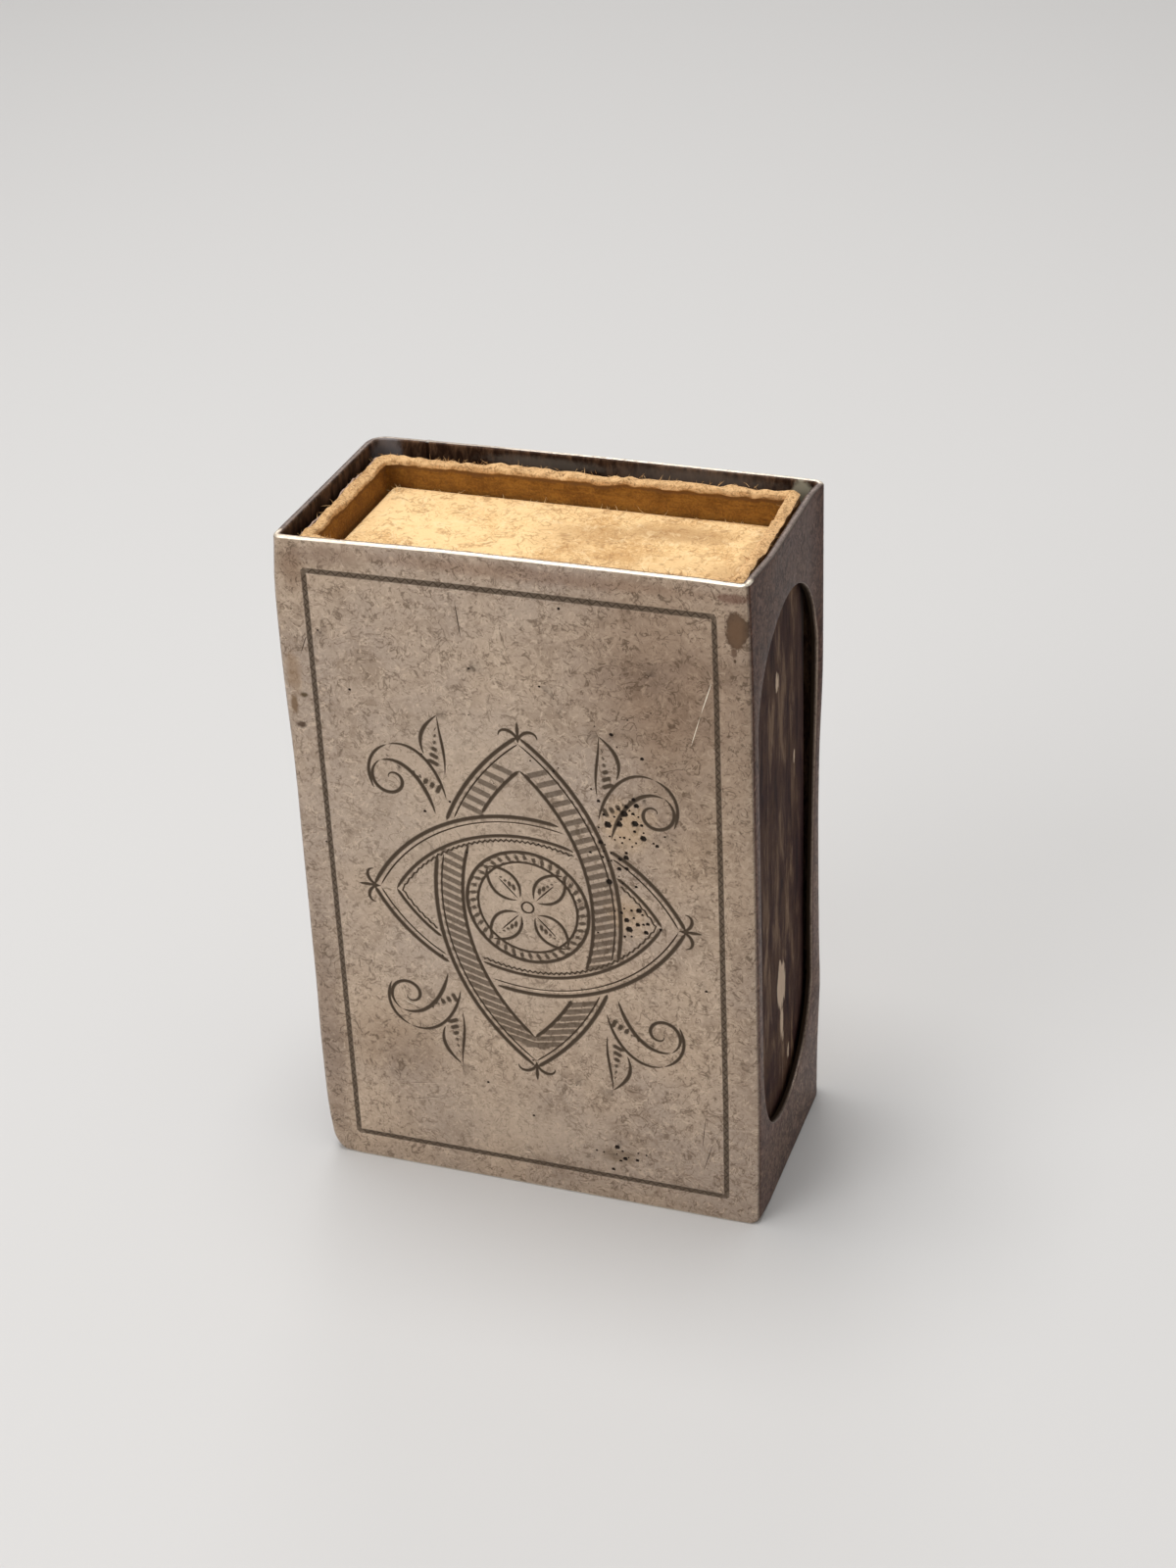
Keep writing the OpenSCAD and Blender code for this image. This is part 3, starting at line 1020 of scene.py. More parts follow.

# Each stain is its middle in x and z, its two radii, its colour, its share and how soft its edge is.
# The shades are painted shade: their colours darken what lies under them, and the others cover it.
PAINTED_SHADES = [
    ((12.5, 50.0), (7.0, 7.0), (0.66, 0.60, 0.56), 1.0, 0.8),
    ((13.5, 38.0), (3.5, 6.0), (0.80, 0.76, 0.72), 0.8, 0.8),
    ((-12.0, 12.5), (4.0, 3.0), (0.76, 0.72, 0.68), 0.9, 0.7),
    ((-18.4, 12.0), (1.1, 13.0), (0.72, 0.70, 0.70), 1.0, 0.6),
    ((17.9, 32.0), (1.2, 22.0), (0.80, 0.78, 0.77), 0.8, 0.6),
    ((-17.6, 56.0), (1.1, 1.6), (0.62, 0.55, 0.50), 0.9, 0.7),
    ((2.0, 57.6), (13.0, 0.6), (0.74, 0.66, 0.62), 0.9, 0.7),
]
STAINS_AND_HIGHLIGHT = [
    # The first of these, a broad pale patch left of the knot, is a painted highlight.
    ((-5.0, 29.0), (8.0, 13.0), (0.66, 0.54, 0.425), 0.3, 0.9),
    ((-3.0, 42.0), (4.0, 2.5), (0.68, 0.55, 0.43), 0.25, 0.8),
    ((-2.0, 6.0), (7.0, 3.0), (0.68, 0.55, 0.43), 0.35, 0.8),
    ((-15.0, 57.2), (2.6, 0.8), (0.28, 0.19, 0.14), 0.5, 0.6),
    ((8.7, 37.0), (1.9, 1.9), (0.78, 0.55, 0.33), 0.40, 0.6),
    ((8.6, 28.7), (1.5, 1.6), (0.74, 0.52, 0.32), 0.34, 0.6),
    ((7.0, 4.7), (1.5, 0.7), (0.24, 0.17, 0.11), 0.6, 0.4),
    ((-18.3, 46.8), (0.6, 1.7), (0.34, 0.22, 0.13), 0.6, 0.5),
    ((-18.5, 44.0), (0.3, 0.9), (0.20, 0.12, 0.06), 0.8, 0.4),
    ((-17.6, 44.9), (0.30, 0.22), (0.10, 0.065, 0.03), 0.9, 0.5),
    ((-18.1, 42.2), (0.42, 0.28), (0.09, 0.055, 0.035), 0.9, 0.5),
    ((17.75, 55.0), (0.85, 1.5), (0.10, 0.060, 0.038), 0.9, 0.1),
    ((17.75, 54.95), (0.64, 1.25), (0.20, 0.118, 0.070), 0.75, 0.5),
    ((17.55, 53.15), (0.22, 0.35), (0.15, 0.09, 0.06), 0.8, 0.3),
    ((17.6, 52.5), (0.10, 0.16), (0.10, 0.062, 0.04), 0.9, 0.3),
    ((17.5, 57.6), (1.3, 0.35), (0.16, 0.07, 0.05), 0.6, 0.4),
]
LINING_PATCHES = [
    ((-17.4, 56.5), (1.1, 2.6), (0.21, 0.19, 0.19), 0.8, 0.4),
    ((17.5, 57.1), (0.9, 1.3), (0.44, 0.41, 0.31), 0.9, 0.3),
    ((9.0, 57.5), (6.0, 0.8), (0.20, 0.16, 0.13), 0.6, 0.6),
    ((-4.0, 57.6), (4.5, 0.5), (0.19, 0.16, 0.13), 0.6, 0.5),
]
print("shades and stains:", len(PAINTED_SHADES) + len(STAINS_AND_HIGHLIGHT) + len(LINING_PATCHES))

# %% Films and painted shade on the front, the sides and the inside


def add_stains(finish, colour, stains, where, how="MIX"):
    """Lays oval stains over a colour, one after the other, only where the given value is 1."""
    for centre, radii, paint, share, edge in stains:
        spot = finish.spot(centre, radii, edge)
        colour = finish.blend(finish.times(spot, share, where), colour, paint, how)
    return colour


def front_colour(silver, mottle):
    """Rubbed metal under brown film, with fine curly marks both darker and paler than it."""
    clouds = silver.ramp(silver.grain(12, 3), 0.35, 0.65)
    patches = silver.ramp(silver.grain(2.7, 6, 0.64, swirl=0.8), 0.46, 0.70)
    colour = silver.blend(clouds, SILVER_WARM, SILVER_COOL)
    colour = silver.lay(FILM_BROWN, colour, patches, 0.55)
    colour = silver.lay(FILM_BROWN, colour, silver.ramp(mottle, 0.50, 0.68), 0.62)
    colour = silver.lay(SILVER_RUBBED, colour, silver.ramp(mottle, 0.47, 0.32), 0.62)
    colour = silver.lay(FILM_DARK, colour, silver.hairs(1.5, 0.045, 0.4), 0.82)
    colour = silver.lay(FILM_DARK, colour, silver.hairs(0.9, 0.045, 2.3), 0.70)
    colour = silver.lay(SILVER_RUBBED, colour, silver.hairs(1.2, 0.040, 1.3), 0.78)
    dots = silver.ramp(silver.grain(0.45, 2), 0.67, 0.72)
    return silver.lay(FILM_DARK, colour, dots, 0.6)


def side_colour(silver, mottle):
    """The plum and brown film of the narrow sides, with painted shade that darkens it towards the top."""
    side = silver.blend(silver.ramp(silver.grain(6, 4), 0.35, 0.65), SIDE_PLUM, SIDE_BROWN)
    side = silver.lay(SIDE_DARK, side, silver.ramp(mottle, 0.46, 0.58), 0.75)
    patches = silver.ramp(silver.grain(2.2, 5, 0.66, swirl=0.8), 0.50, 0.62)
    side = silver.lay(SIDE_DARK, side, patches, 0.55)
    side = silver.lay(SIDE_PALE, side, silver.ramp(mottle, 0.44, 0.34), 0.6)
    side = silver.lay(SIDE_DARK, side, silver.hairs(1.3, 0.05, 0.9), 0.5)
    return silver.blend(silver.ramp(silver.z, 16, 52), side, SIDE_SHADOW, "MULTIPLY")


def lining_colour(silver):
    """The nearly black inside, tarnish film deepened by painted shade, with streaks that run up and down."""
    streaks = silver.grain(0.7, 6, 0.70, swirl=0.5, place=silver.stretched((1, 1, 0.30)))
    lining = silver.blend(silver.ramp(streaks, 0.40, 0.68), LINING_TARNISH_AND_SHADE, LINING_BROWN)
    at_back = silver.ramp(silver.y, HALF_D - 2.4, HALF_D - 1.4)
    return add_stains(silver, lining, LINING_PATCHES, at_back)


# %% Silver finish


def make_silver():
    silver = Finish("tarnished_silver")
    in_cut, bare, in_pit, inside, rim = map(silver.mark, ("cut", "bare", "pit", "inside", "rim"))
    sideways = silver.sideways()
    mottle = silver.grain(0.8, 6, 0.72, swirl=2.0)
    at_front = silver.ramp(silver.y, -HALF_D + 1.6, -HALF_D + 1.0)
    # Painted shade: large soft darker patches over the front, at the top right, along both bends and along
    # the top.
    colour = add_stains(silver, front_colour(silver, mottle), PAINTED_SHADES, at_front, "MULTIPLY")
    # The stains, and one broad painted highlight left of the knot.
    colour = add_stains(silver, colour, STAINS_AND_HIGHLIGHT, at_front)

    on_side = silver.ramp(sideways, 0.78, 0.93)
    colour = silver.blend(on_side, colour, side_colour(silver, mottle))
    bend_line = silver.times(silver.ramp(sideways, 0.66, 0.80), silver.ramp(sideways, 0.95, 0.86))
    colour = silver.lay(SIDE_DARK, colour, bend_line, 0.45)

    # The cream on the rims is partly their real polish and partly painted highlight: along the front rim, on
    # the outer rounded edge of the front and back rims, and along the back rim, stronger towards the right.
    bright = silver.times(rim, silver.ramp(mottle, 0.66, 0.45, 0.45, 1.0))
    colour = silver.lay(RIM_MAUVE, colour, rim, silver.calc("SUBTRACT", 1.0, at_front), 0.8)
    edge_highlight = silver.times(rim, silver.ramp(inside, 0.22, 0.05), 0.55)
    colour = silver.lay(POLISH_AND_HIGHLIGHT_CREAM, colour, edge_highlight, silver.ramp(sideways, 0.6, 0.3))
    colour = silver.lay(POLISH_AND_HIGHLIGHT_CREAM, colour, bright, at_front, silver.ramp(inside, 0.62, 0.42))
    # Inside, the near black lining: partly tarnish, partly painted shade.
    colour = silver.blend(silver.ramp(inside, 0.55, 0.80), colour, lining_colour(silver))
    back_rim_highlight = silver.times(bright, silver.ramp(silver.y, 9.0, 9.5), silver.ramp(inside, 0.80, 0.55))
    colour = silver.lay(POLISH_AND_HIGHLIGHT_CREAM, colour, back_rim_highlight, silver.ramp(silver.x, -14, 2, 0.25, 1.0))

    colour = silver.blend(silver.ramp(in_cut, 0.0, 0.55), colour, CUT_DARK)
    colour = silver.blend(silver.ramp(bare, 0.0, 0.5), colour, POLISH_AND_HIGHLIGHT_CREAM)
    colour = silver.blend(silver.ramp(in_pit, 0.0, 0.6), colour, PIT_DARK)

    in_lining = silver.ramp(inside, 0.6, 0.9)
    rough = silver.ramp(mottle, 0.3, 0.7, 0.36, 0.48)
    rough = silver.calc("ADD", rough, silver.times(in_cut, 0.2))
    rough = silver.calc("ADD", rough, silver.times(in_pit, 0.35))
    metal = silver.calc("SUBTRACT", 0.88, silver.times(in_pit, 0.7))
    metal = silver.calc("SUBTRACT", metal, silver.times(in_lining, 0.75))
    metal = silver.calc("SUBTRACT", metal, silver.times(on_side, 0.62))
    sheen = silver.ramp(silver.calc("MAXIMUM", on_side, in_lining), 0, 1, 0.5, 0.06)
    skin = silver.bump(silver.grain(0.35, 4, 0.6), 0.012)
    brushed = silver.grain(0.9, 3, place=silver.stretched((9, 9, 0.35), (0, 0.5, 0)))
    skin = silver.bump(brushed, 0.010, skin)
    channels = {"Metallic": metal, "Roughness": rough, "Specular_IOR_Level": sheen, "Normal": skin}
    return silver.done(Base_Color=colour, **channels)


silver_finish = make_silver()

# %% [markdown]
# ## Closing the sheet
# The two faces are joined round every border, so the sheet has a real thickness. The rims and the
# edges of the windows are softly rounded, as file and polish leave them. It is this round edge, with
# a painted highlight laid along it, that draws the bright line along the top of the front.
#
# Nothing on an old sleeve is quite straight. Its sides have swollen out where thumbs pressed the front,
# the front right edge leans in at the top, the corners at the foot are worn round, and the saw has
# left one window narrower low down. The tables below give these moves against the height, and every
# point of the sheet takes them after it is bent.

# %% Bruises, bows and rounded edges
BOW_FRONT = 0.10
BACK_SPRUNG = 0.26
RIGHT_SWELL_AT = (0, 5, 12, 15, 29, 35, 42, SLEEVE_H)
RIGHT_SWELL = (0, 0.04, 0.30, 0.20, 0.05, 0.10, 0.36, 0.36)
LEFT_SWELL_AT = (0, 1.2, 3, 5, 12, 17, 27, 31, 36, 40, 43, 47, 50, 54, 56.2, 57.5, SLEEVE_H)
LEFT_SWELL = (0, 0.3, 0.5, 0.62, 0.64, 0.50, 0.43, 0.40, 0.33, 0.34, 0.43, 0.50, 0.50, 0.46, 0.28, 0.12, 0.03)
LEAN_AT = (0, 5, 12, 18, 30, 40, 50, 55, SLEEVE_H)
LEAN = (0, 0.06, 0.12, 0.07, 0, -0.10, -0.16, -0.27, -0.40)
WINDOW_LEAN_AT = (0, 20, 24, 32, 38, 44)
WINDOW_LEAN = (1.2, 1.4, 1.2, 0.7, 0.25, 0)
WINDOW_SIDES_AT, WINDOW_SIDES = (-8.4, -4, 8.4, 9.7), (0, 1, 1, 0)
RIM_STANDS = 0.30
RIM_STANDS_AT, RIM_SHARE = (-17, -5, 15, 19), (0, 1, 1, 0.7)
CORNER_R = (1.5, 0.8)
CORNER_WEAR = 0.7
CORNER_RUN_X = 2.2
CORNER_RUN_Y = 3
FRONT_FADE = 6
LEFT_FADE = 14
# Each of these runs is where a move sets in and over how many mm it grows.
BACK_EDGE_RUN, RIGHT_RUN, LEFT_RUN, TOP_RUN = (8.2, 1.2), (14, 3.5), (16.9, 1.8), (54, 4.5)
ROUND_STEPS = 4
print("left side stands out by up to", max(LEFT_SWELL), "mm, the right one by", max(RIGHT_SWELL), "mm")


def climb(value, start, run):
    """0 up to the start, then rising evenly to 1 over the run."""
    return np.clip((value - start) / run, 0, 1)


def swollen(z, at, swell):
    """How far a side stands out at each height, smoothed over two millimetres."""
    return np.mean([np.interp(z + d, at, swell) for d in (-1.0, 0, 1.0)], axis=0)


def worn_corner(x, y, z):
    """How much the corners at the foot of the front have been rounded, 0 away from them."""
    radius = np.where(x < 0, *CORNER_R)
    low = np.clip(1 - z / radius, 0, 1)
    near_x = np.clip((np.abs(x) - HALF_W + CORNER_RUN_X) / CORNER_RUN_X, 0, 1)
    near_y = np.clip((-y - HALF_D + CORNER_RUN_Y) / CORNER_RUN_Y, 0, 1)
    return CORNER_WEAR * radius * (1 - np.sqrt(1 - low**2)) * near_x**2 * near_y


def handled(x, y, z):
    """How far long handling has pushed each point, in mm, as moves in x, y and z."""
    middle = 1 - (z / SLEEVE_H * 2 - 1) ** 2
    across_front = np.clip(1 - (x / HALF_W) ** 2, 0, 1)
    front_near = np.clip(1 - (y + HALF_D) / FRONT_FADE, 0, 1)
    right = swollen(z, RIGHT_SWELL_AT, RIGHT_SWELL) * climb(y, *BACK_EDGE_RUN)
    right = right + swollen(z, LEAN_AT, LEAN) * front_near
    left = swollen(z, LEFT_SWELL_AT, LEFT_SWELL) * np.clip(1 - (y + HALF_D) / LEFT_FADE, 0.2, 1)
    worn = worn_corner(x, y, z)
    move_x = right * climb(x, *RIGHT_RUN) - left * climb(-x, *LEFT_RUN)
    on_back = np.clip(y - HALF_D + 2, 0, 1)
    on_front = np.clip(2 - y - HALF_D, 0, 1)
    sprung = BACK_SPRUNG * (z / SLEEVE_H) ** 2 * on_back
    move_y = across_front * (sprung + BOW_FRONT * middle * on_front)
    beside_window = np.interp(y, WINDOW_SIDES_AT, WINDOW_SIDES) * (x > HALF_W - 1)
    move_y = move_y - beside_window * swollen(z, WINDOW_LEAN_AT, WINDOW_LEAN)
    higher = RIM_STANDS * np.interp(x, RIM_STANDS_AT, RIM_SHARE) * front_near
    move_z = higher * climb(z, *TOP_RUN)
    return move_x - np.sign(x) * worn, move_y + 0.4 * worn, move_z


def stand(u, z, inset):
    """Points of the sheet in space, bent and with their bruises."""
    x, y = sheet.section(np.asarray(u, float), inset)
    move_x, move_y, move_z = handled(x, y, np.asarray(z, float))
    return np.stack([x + move_x, y + move_y, z + move_z], 1)


def rounded_edge(radius):
    """Depth and rise along an edge that is rounded on both its corners."""
    angles = np.radians(np.linspace(0, 90, ROUND_STEPS + 1))[1:]
    over = [(radius * (1 - math.cos(a)), radius * math.sin(a)) for a in angles]
    return over + [(SHEET_T - inset, rise) for inset, rise in reversed(over)]


# %% Assemble the sleeve
FILED = 0.035
# The window edges take the lining and a dark cut face, partly tarnish and partly painted shade.
WINDOW_FILM_AND_SHADE = 0.3
WINDOW_BRIGHT = 0.7
CUT_FACE_TARNISH_AND_SHADE = 0.9
SAWN_LOW_BELOW = 30
SAWN_FROM_LOW, SAWN_FROM_HIGH = 0.35, 0.2


def make_sleeve():
    solid = Solid()
    front = solid.add(stand(outer[:, 0], outer[:, 1], outer_depth), **outer_marks)
    back = solid.add(stand(inner[:, 0], inner[:, 1], SHEET_T), inside=1.0)
    solid.faces += [tuple(front[i] for i in face) for face in outer_faces]
    solid.faces += [tuple(back[i] for i in face[::-1]) for face in inner_faces]
    rims = {}
    for end, row, way in (("low", 0, -1), ("high", -1, 1)):
        filed = FILED * np.array([noise.noise(Vector((u * 0.9, way, 3.1))) - 0.6 for u in columns])
        before = front[outer_borders[end]]
        rims[end] = []
        for inset, rise in rounded_edge(RIM_R):
            z = rows[row] + way * (rise + filed * rise / RIM_R)
            ring = solid.add(stand(columns, z, inset), inside=inset / SHEET_T, rim=1.0)
            solid.strip(before, ring)
            rims[end].append(ring)
            before = ring
        solid.strip(before, back[inner_borders[end]])
    for side, column in (("left", 0), ("right", -1)):
        loop = list(front[outer_borders[side]]) + [ring[column] for ring in rims["high"]]
        loop += list(back[inner_borders[side]][::-1]) + [ring[column] for ring in rims["low"][::-1]]
        solid.faces.append(tuple(loop))
    for middle, near, far in zip(WINDOW_MIDDLES, outer_borders["windows"], inner_borders["windows"]):
        before = front[near]
        for inset, rise in rounded_edge(WINDOW_EDGE_R):
            outline = window_outline(middle, WINDOW_EDGE_R - rise)
            points = stand(outline[:, 0], outline[:, 1], inset)
            # The inner part of each window's cut face is darkened through the pit mark, and the film mark
            # lays the lining on it: partly tarnish, partly painted shade.
            low_down = outline[:, 1] < SAWN_LOW_BELOW
            tarnish_and_shade = CUT_FACE_TARNISH_AND_SHADE * (inset > np.where(low_down, SAWN_FROM_LOW, SAWN_FROM_HIGH))
            film = WINDOW_FILM_AND_SHADE + inset / SHEET_T
            ring = solid.add(points, inside=film, rim=WINDOW_BRIGHT, pit=tarnish_and_shade)
            solid.strip(before, ring, closed=True)
            before = ring
        solid.strip(before, back[far], closed=True)
    solid.build("engraved_sleeve", silver_finish, "sleeve", ["silver_sleeve"], 24)


make_sleeve()

# %% [markdown]
# ## The soldered seam
# The two ends of the sheet meet on the back, near the left corner, and a line of hard solder closes
# them. It was filed nearly flush, so only a slightly paler, uneven bead is left.

# %% Solder bead
BEAD_RISE = 0.035
BEAD_SPILL = 0.12
SEAM_SHORT = 0.05
SOLDER_DULL = (0.30, 0.27, 0.24)
SOLDER_BRIGHT = (0.52, 0.49, 0.44)
SOLDER_PORE = (0.10, 0.08, 0.07)


def make_solder_finish():
    solder = Finish("hard_solder")
    mottle = solder.grain(0.6, 5, 0.6)
    colour = solder.blend(solder.ramp(mottle, 0.35, 0.65), SOLDER_DULL, SOLDER_BRIGHT)
    pores = solder.ramp(solder.grain(0.16, 2), 0.66, 0.74)
    colour = solder.blend(pores, colour, SOLDER_PORE)
    rough = solder.ramp(mottle, 0.3, 0.7, 0.5, 0.34)
    # The inner face of the bead takes the lining's near black, partly tarnish and partly painted shade.
    inside = solder.ramp(solder.y, HALF_D - 0.2, HALF_D - 0.45)
    colour = solder.blend(inside, colour, LINING_TARNISH_AND_SHADE)
    skin = solder.bump(solder.grain(0.2, 4), 0.02)
    return solder.done(Base_Color=colour, Metallic=0.85, Roughness=rough, Normal=skin)


def make_seam():
    """A flattened bead through the slit, built as rings that climb along it."""
    solid = Solid()
    middle = (seam_low.x + seam_high.x) / 2 / MM
    half = (seam_high.x - seam_low.x) / 2 / MM
    rings = []
    for z in np.linspace(SEAM_SHORT, SLEEVE_H - SEAM_SHORT, 180):
        lumps = noise.noise(Vector((0, 7.3, z * 0.8)))
        spill = half + BEAD_SPILL * (0.6 + 0.4 * lumps)
        rise = BEAD_RISE * (0.7 + 0.3 * noise.noise(Vector((2.1, 0, z * 1.3))))
        back = HALF_D + handled(np.array([middle]), np.array([HALF_D]), z)[1][0]
        outline = [(-half, -SHEET_T), (-half, 0), (-spill, 0.004)]
        outline += [(-0.5 * spill, 0.8 * rise), (0, rise)]
        outline += [(-x, y) for x, y in reversed(outline[:-1])]
        rings.append(solid.add([(middle + x, back + y, z) for x, y in outline]))
    solid.tube(rings)
    solid.build("seam_bead", make_solder_finish(), "sleeve", ["seam_solder"])


make_seam()

# %% [markdown]
# ## Board and paper
# Board is pressed straw and rag, so its cut and torn edges are fibrous. Each folded board or paper
# piece is a closed profile that follows its fold. The profile goes up the outside, over a ragged edge
# and down the inside, and noise roughens every surface a little. A few hundred loose fibres, thin
# tapered hairs, stand on the torn edges, because their fuzz is what tells board from plastic.

# %% Sweep a profile round a fold


def upright_way(x, y, h):
    """Leaves a section upright, with its front to the front."""
    return np.stack([x, y, h], -1)


def facing_way(x, y, h):
    """Lays a section upright with its back turned to the front, where the case has its seam."""
    return np.stack([x, -y, h], -1)


def swept(solid, fold, columns_u, insets, heights, lay, torn):
    """Adds the solid whose profile of depths and heights, one row per column, follows the fold."""
    x, y = fold.section(columns_u[:, None] + 0 * insets, insets)
    count = len(columns_u)
    rings = [solid.add(lay(x[i], y[i], heights[i]), torn=torn[i]) for i in range(count)]
    solid.tube(rings, capped=not fold.closed)
    if fold.closed:
        solid.strip(rings[-1], rings[0], closed=True)


def board_profile(fold, columns_u, start, end, lay, rough, tear, dome, seed):
    """Depths, heights and torn marks for a tube from one height to another, with ragged ends.

    Rough is how far its faces wander, tear how deep its upper end is torn and dome how far the end
    is rounded, all in mm.
    """
    t = fold.thickness
    angles = np.radians(np.linspace(0, 180, 9)[1:-1])
    over = t / 2 - t / 2 * np.cos(angles)
    rise = dome * np.sin(angles)
    steps = np.array([0.0, 0.12, 0.3, 0.5, 0.7, 1.1, 2.0, 3.4])
    from_end = np.concatenate([steps, np.linspace(5, (end - start) / 2 - dome, 8)])
    along = np.concatenate([start + dome + from_end, (end - dome - from_end)[::-1][1:]])
    depths = np.concatenate([0 * along, over, 0 * along + t, over[::-1]])
    levels = np.concatenate([along, end - dome + rise, along[::-1], start + dome - rise[::-1]])
    half_way = 0 * over + 0.5
    which = np.concatenate([0 * along, half_way, 0 * along + 1, half_way])
    insets = np.tile(depths, (len(columns_u), 1))
    heights = np.tile(levels, (len(columns_u), 1))
    x, y = fold.section(columns_u[:, None] + 0 * insets, insets)
    places = lay(x, y, heights).reshape(-1, 3)
    shape = insets.shape
    lumps = (waves(places, 1.4, seed) + 0.6 * waves(places, 0.5, seed + 5)).reshape(shape)
    tears = waves(places, 2.6, seed + 9) + 0.8 * waves(places, 0.8, seed + 14)
    tears = np.clip(0.5 + 0.6 * tears.reshape(shape), 0, 1.3)
    near_end = np.clip(1 - np.minimum(heights - start, end - heights) / 1.2, 0, 1)
    push = rough * (0.5 + 0.5 * lumps) * (0.5 + near_end)
    insets = insets + np.where(which == 0, push, np.where(which == 1, -push, 0.5 * rough * lumps))
    peeled = rough * np.interp(end - heights, (0, 0.2, 0.55, 0.75), (0, 1, 1.3, 0)) * (which == 1)
    insets = insets + peeled * np.clip(0.6 + lumps, 0, 1.5)
    heights = heights - tear * tears * np.clip((heights - end + 1.5) / 1.5, 0, 1)
    heights = heights + 0.5 * tear * tears * np.clip((start + 1.5 - heights) / 1.5, 0, 1)
    return insets, heights, near_end


# %% Loose fibres
THREE_CORNERS = (0, 2 * math.pi / 3, 4 * math.pi / 3)
FIBRE_TAPER = ((0, 1.0), (0.45, 0.8), (0.8, 0.45))
FIBRE_BEND = 0.35


def add_fibres(solid, roots, ways, lengths, thickness, draw):
    """Thin hairs that taper from their roots and bend a little on their way."""
    for root, way, length in zip(roots, ways, lengths):
        way = Vector(way).normalized()
        side = way.orthogonal().normalized()
        other = way.cross(side)
        lean = side * draw.normal(0, FIBRE_BEND) + other * draw.normal(0, FIBRE_BEND)
        lean = lean * length
        rings = []
        for share, width in FIBRE_TAPER:
            middle = Vector(root) + way * length * share + lean * share**2
            outward = [side * math.cos(a) + other * math.sin(a) for a in THREE_CORNERS]
            rings.append(solid.add([middle + o * thickness * width for o in outward], torn=1.0))
        solid.spike(rings, solid.add([Vector(root) + way * length + lean], torn=1.0)[0])


# %% [markdown]
# ### The finish of old board
# Straw board is a felt of short fibres, yellow and brown, with darker specks of husk. Three noises at
# different sizes give the felt, and a fourth, sharply cut off, gives the husk. Torn places are paler,
# because the brown skin of age hasn't reached them, and just below a tear a band of husk brown is
# painted as shadow.

# %% Board finish
# Husk brown, for the specks and curls and also for the painted shadow under a tear.
HUSK_AND_SHADE = (0.16, 0.075, 0.025)


def make_board(name, light, dark, torn_colour):
    board = Finish(name)
    felt = board.grain(0.45, 6, 0.68, swirl=2.2)
    clouds = board.grain(2.6, 4)
    strands = board.grain(0.5, 3, place=board.stretched((0.5, 2.6, 2.6), (0.5, 0.4, 0.7)))
    tone = board.calc("ADD", board.times(felt, 0.45), board.times(clouds, 0.35))
    tone = board.calc("ADD", tone, board.times(strands, 0.2))
    colour = board.blend(board.ramp(tone, 0.38, 0.60), light, dark)
    colour = board.lay(HUSK_AND_SHADE, colour, board.ramp(board.grain(0.3, 2), 0.68, 0.75), 0.6)
    torn = board.mark("torn")
    uneven = board.times(board.calc("SUBTRACT", clouds, 0.5), 0.5)
    frayed = board.calc("ADD", torn, uneven)
    # Painted shadow: a band of husk brown just under the torn edge.
    painted_shadow_under_tear = board.times(board.ramp(frayed, 0.12, 0.36), board.ramp(frayed, 0.62, 0.42))
    colour = board.lay(HUSK_AND_SHADE, colour, painted_shadow_under_tear, 0.7)
    fresh = board.ramp(felt, 0.66, 0.44, 0.35, 1.0)
    colour = board.lay(torn_colour, colour, board.ramp(frayed, 0.48, 0.66), fresh)
    curls = board.hairs(0.9, 0.04, 0.7)
    colour = board.lay(HUSK_AND_SHADE, colour, curls, board.ramp(torn, 0.3, 0.8, 0.25, 0.7))
    skin = board.bump(strands, 0.06, board.bump(felt, 0.10))
    return board.done(Base_Color=colour, Roughness=0.9, Specular_IOR_Level=0.25, Normal=skin)


STRAW_LIGHT, STRAW_DARK, STRAW_TORN = (0.37, 0.165, 0.026), (0.19, 0.076, 0.010), (0.74, 0.465, 0.225)
TRAY_LIGHT, TRAY_DARK, TRAY_TORN = (0.60, 0.38, 0.16), (0.40, 0.22, 0.08), (0.74, 0.54, 0.28)
strawboard = make_board("old_strawboard", STRAW_LIGHT, STRAW_DARK, STRAW_TORN)
tray_board = make_board("old_tray_board", TRAY_LIGHT, TRAY_DARK, TRAY_TORN)

# %% [markdown]
# ## The case of the matchbox
# The case is one strip of thick board, creased round the tray, with its two ends butted on the front,
# where the silver hides them. A thin paper is wrapped over it and lapped there. At the top the board
# has been frayed and puffed up by matches and fingers, most of all on the right.

# %% Case board
CASE_BOARD_T = 1.0
CASE_BOARD_R = 0.7
CREASE_R = 0.2
case_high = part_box("case_board")[1]
CASE_W, CASE_D, CASE_H = (size / MM for size in case_high)
SEAM_X = 11.0
SEAM_HALF = 0.15
case_seam = (SEAM_X - SEAM_HALF, SEAM_X + SEAM_HALF)
case_fold = Fold(CASE_W, CASE_D, [CASE_BOARD_R] * 4, CASE_BOARD_T, CREASE_R, case_seam)
FRAY = 0.55
FRAY_RIGHT = 0.22
CASE_FIBRES = 420
CASE_FIBRE_R = 0.022


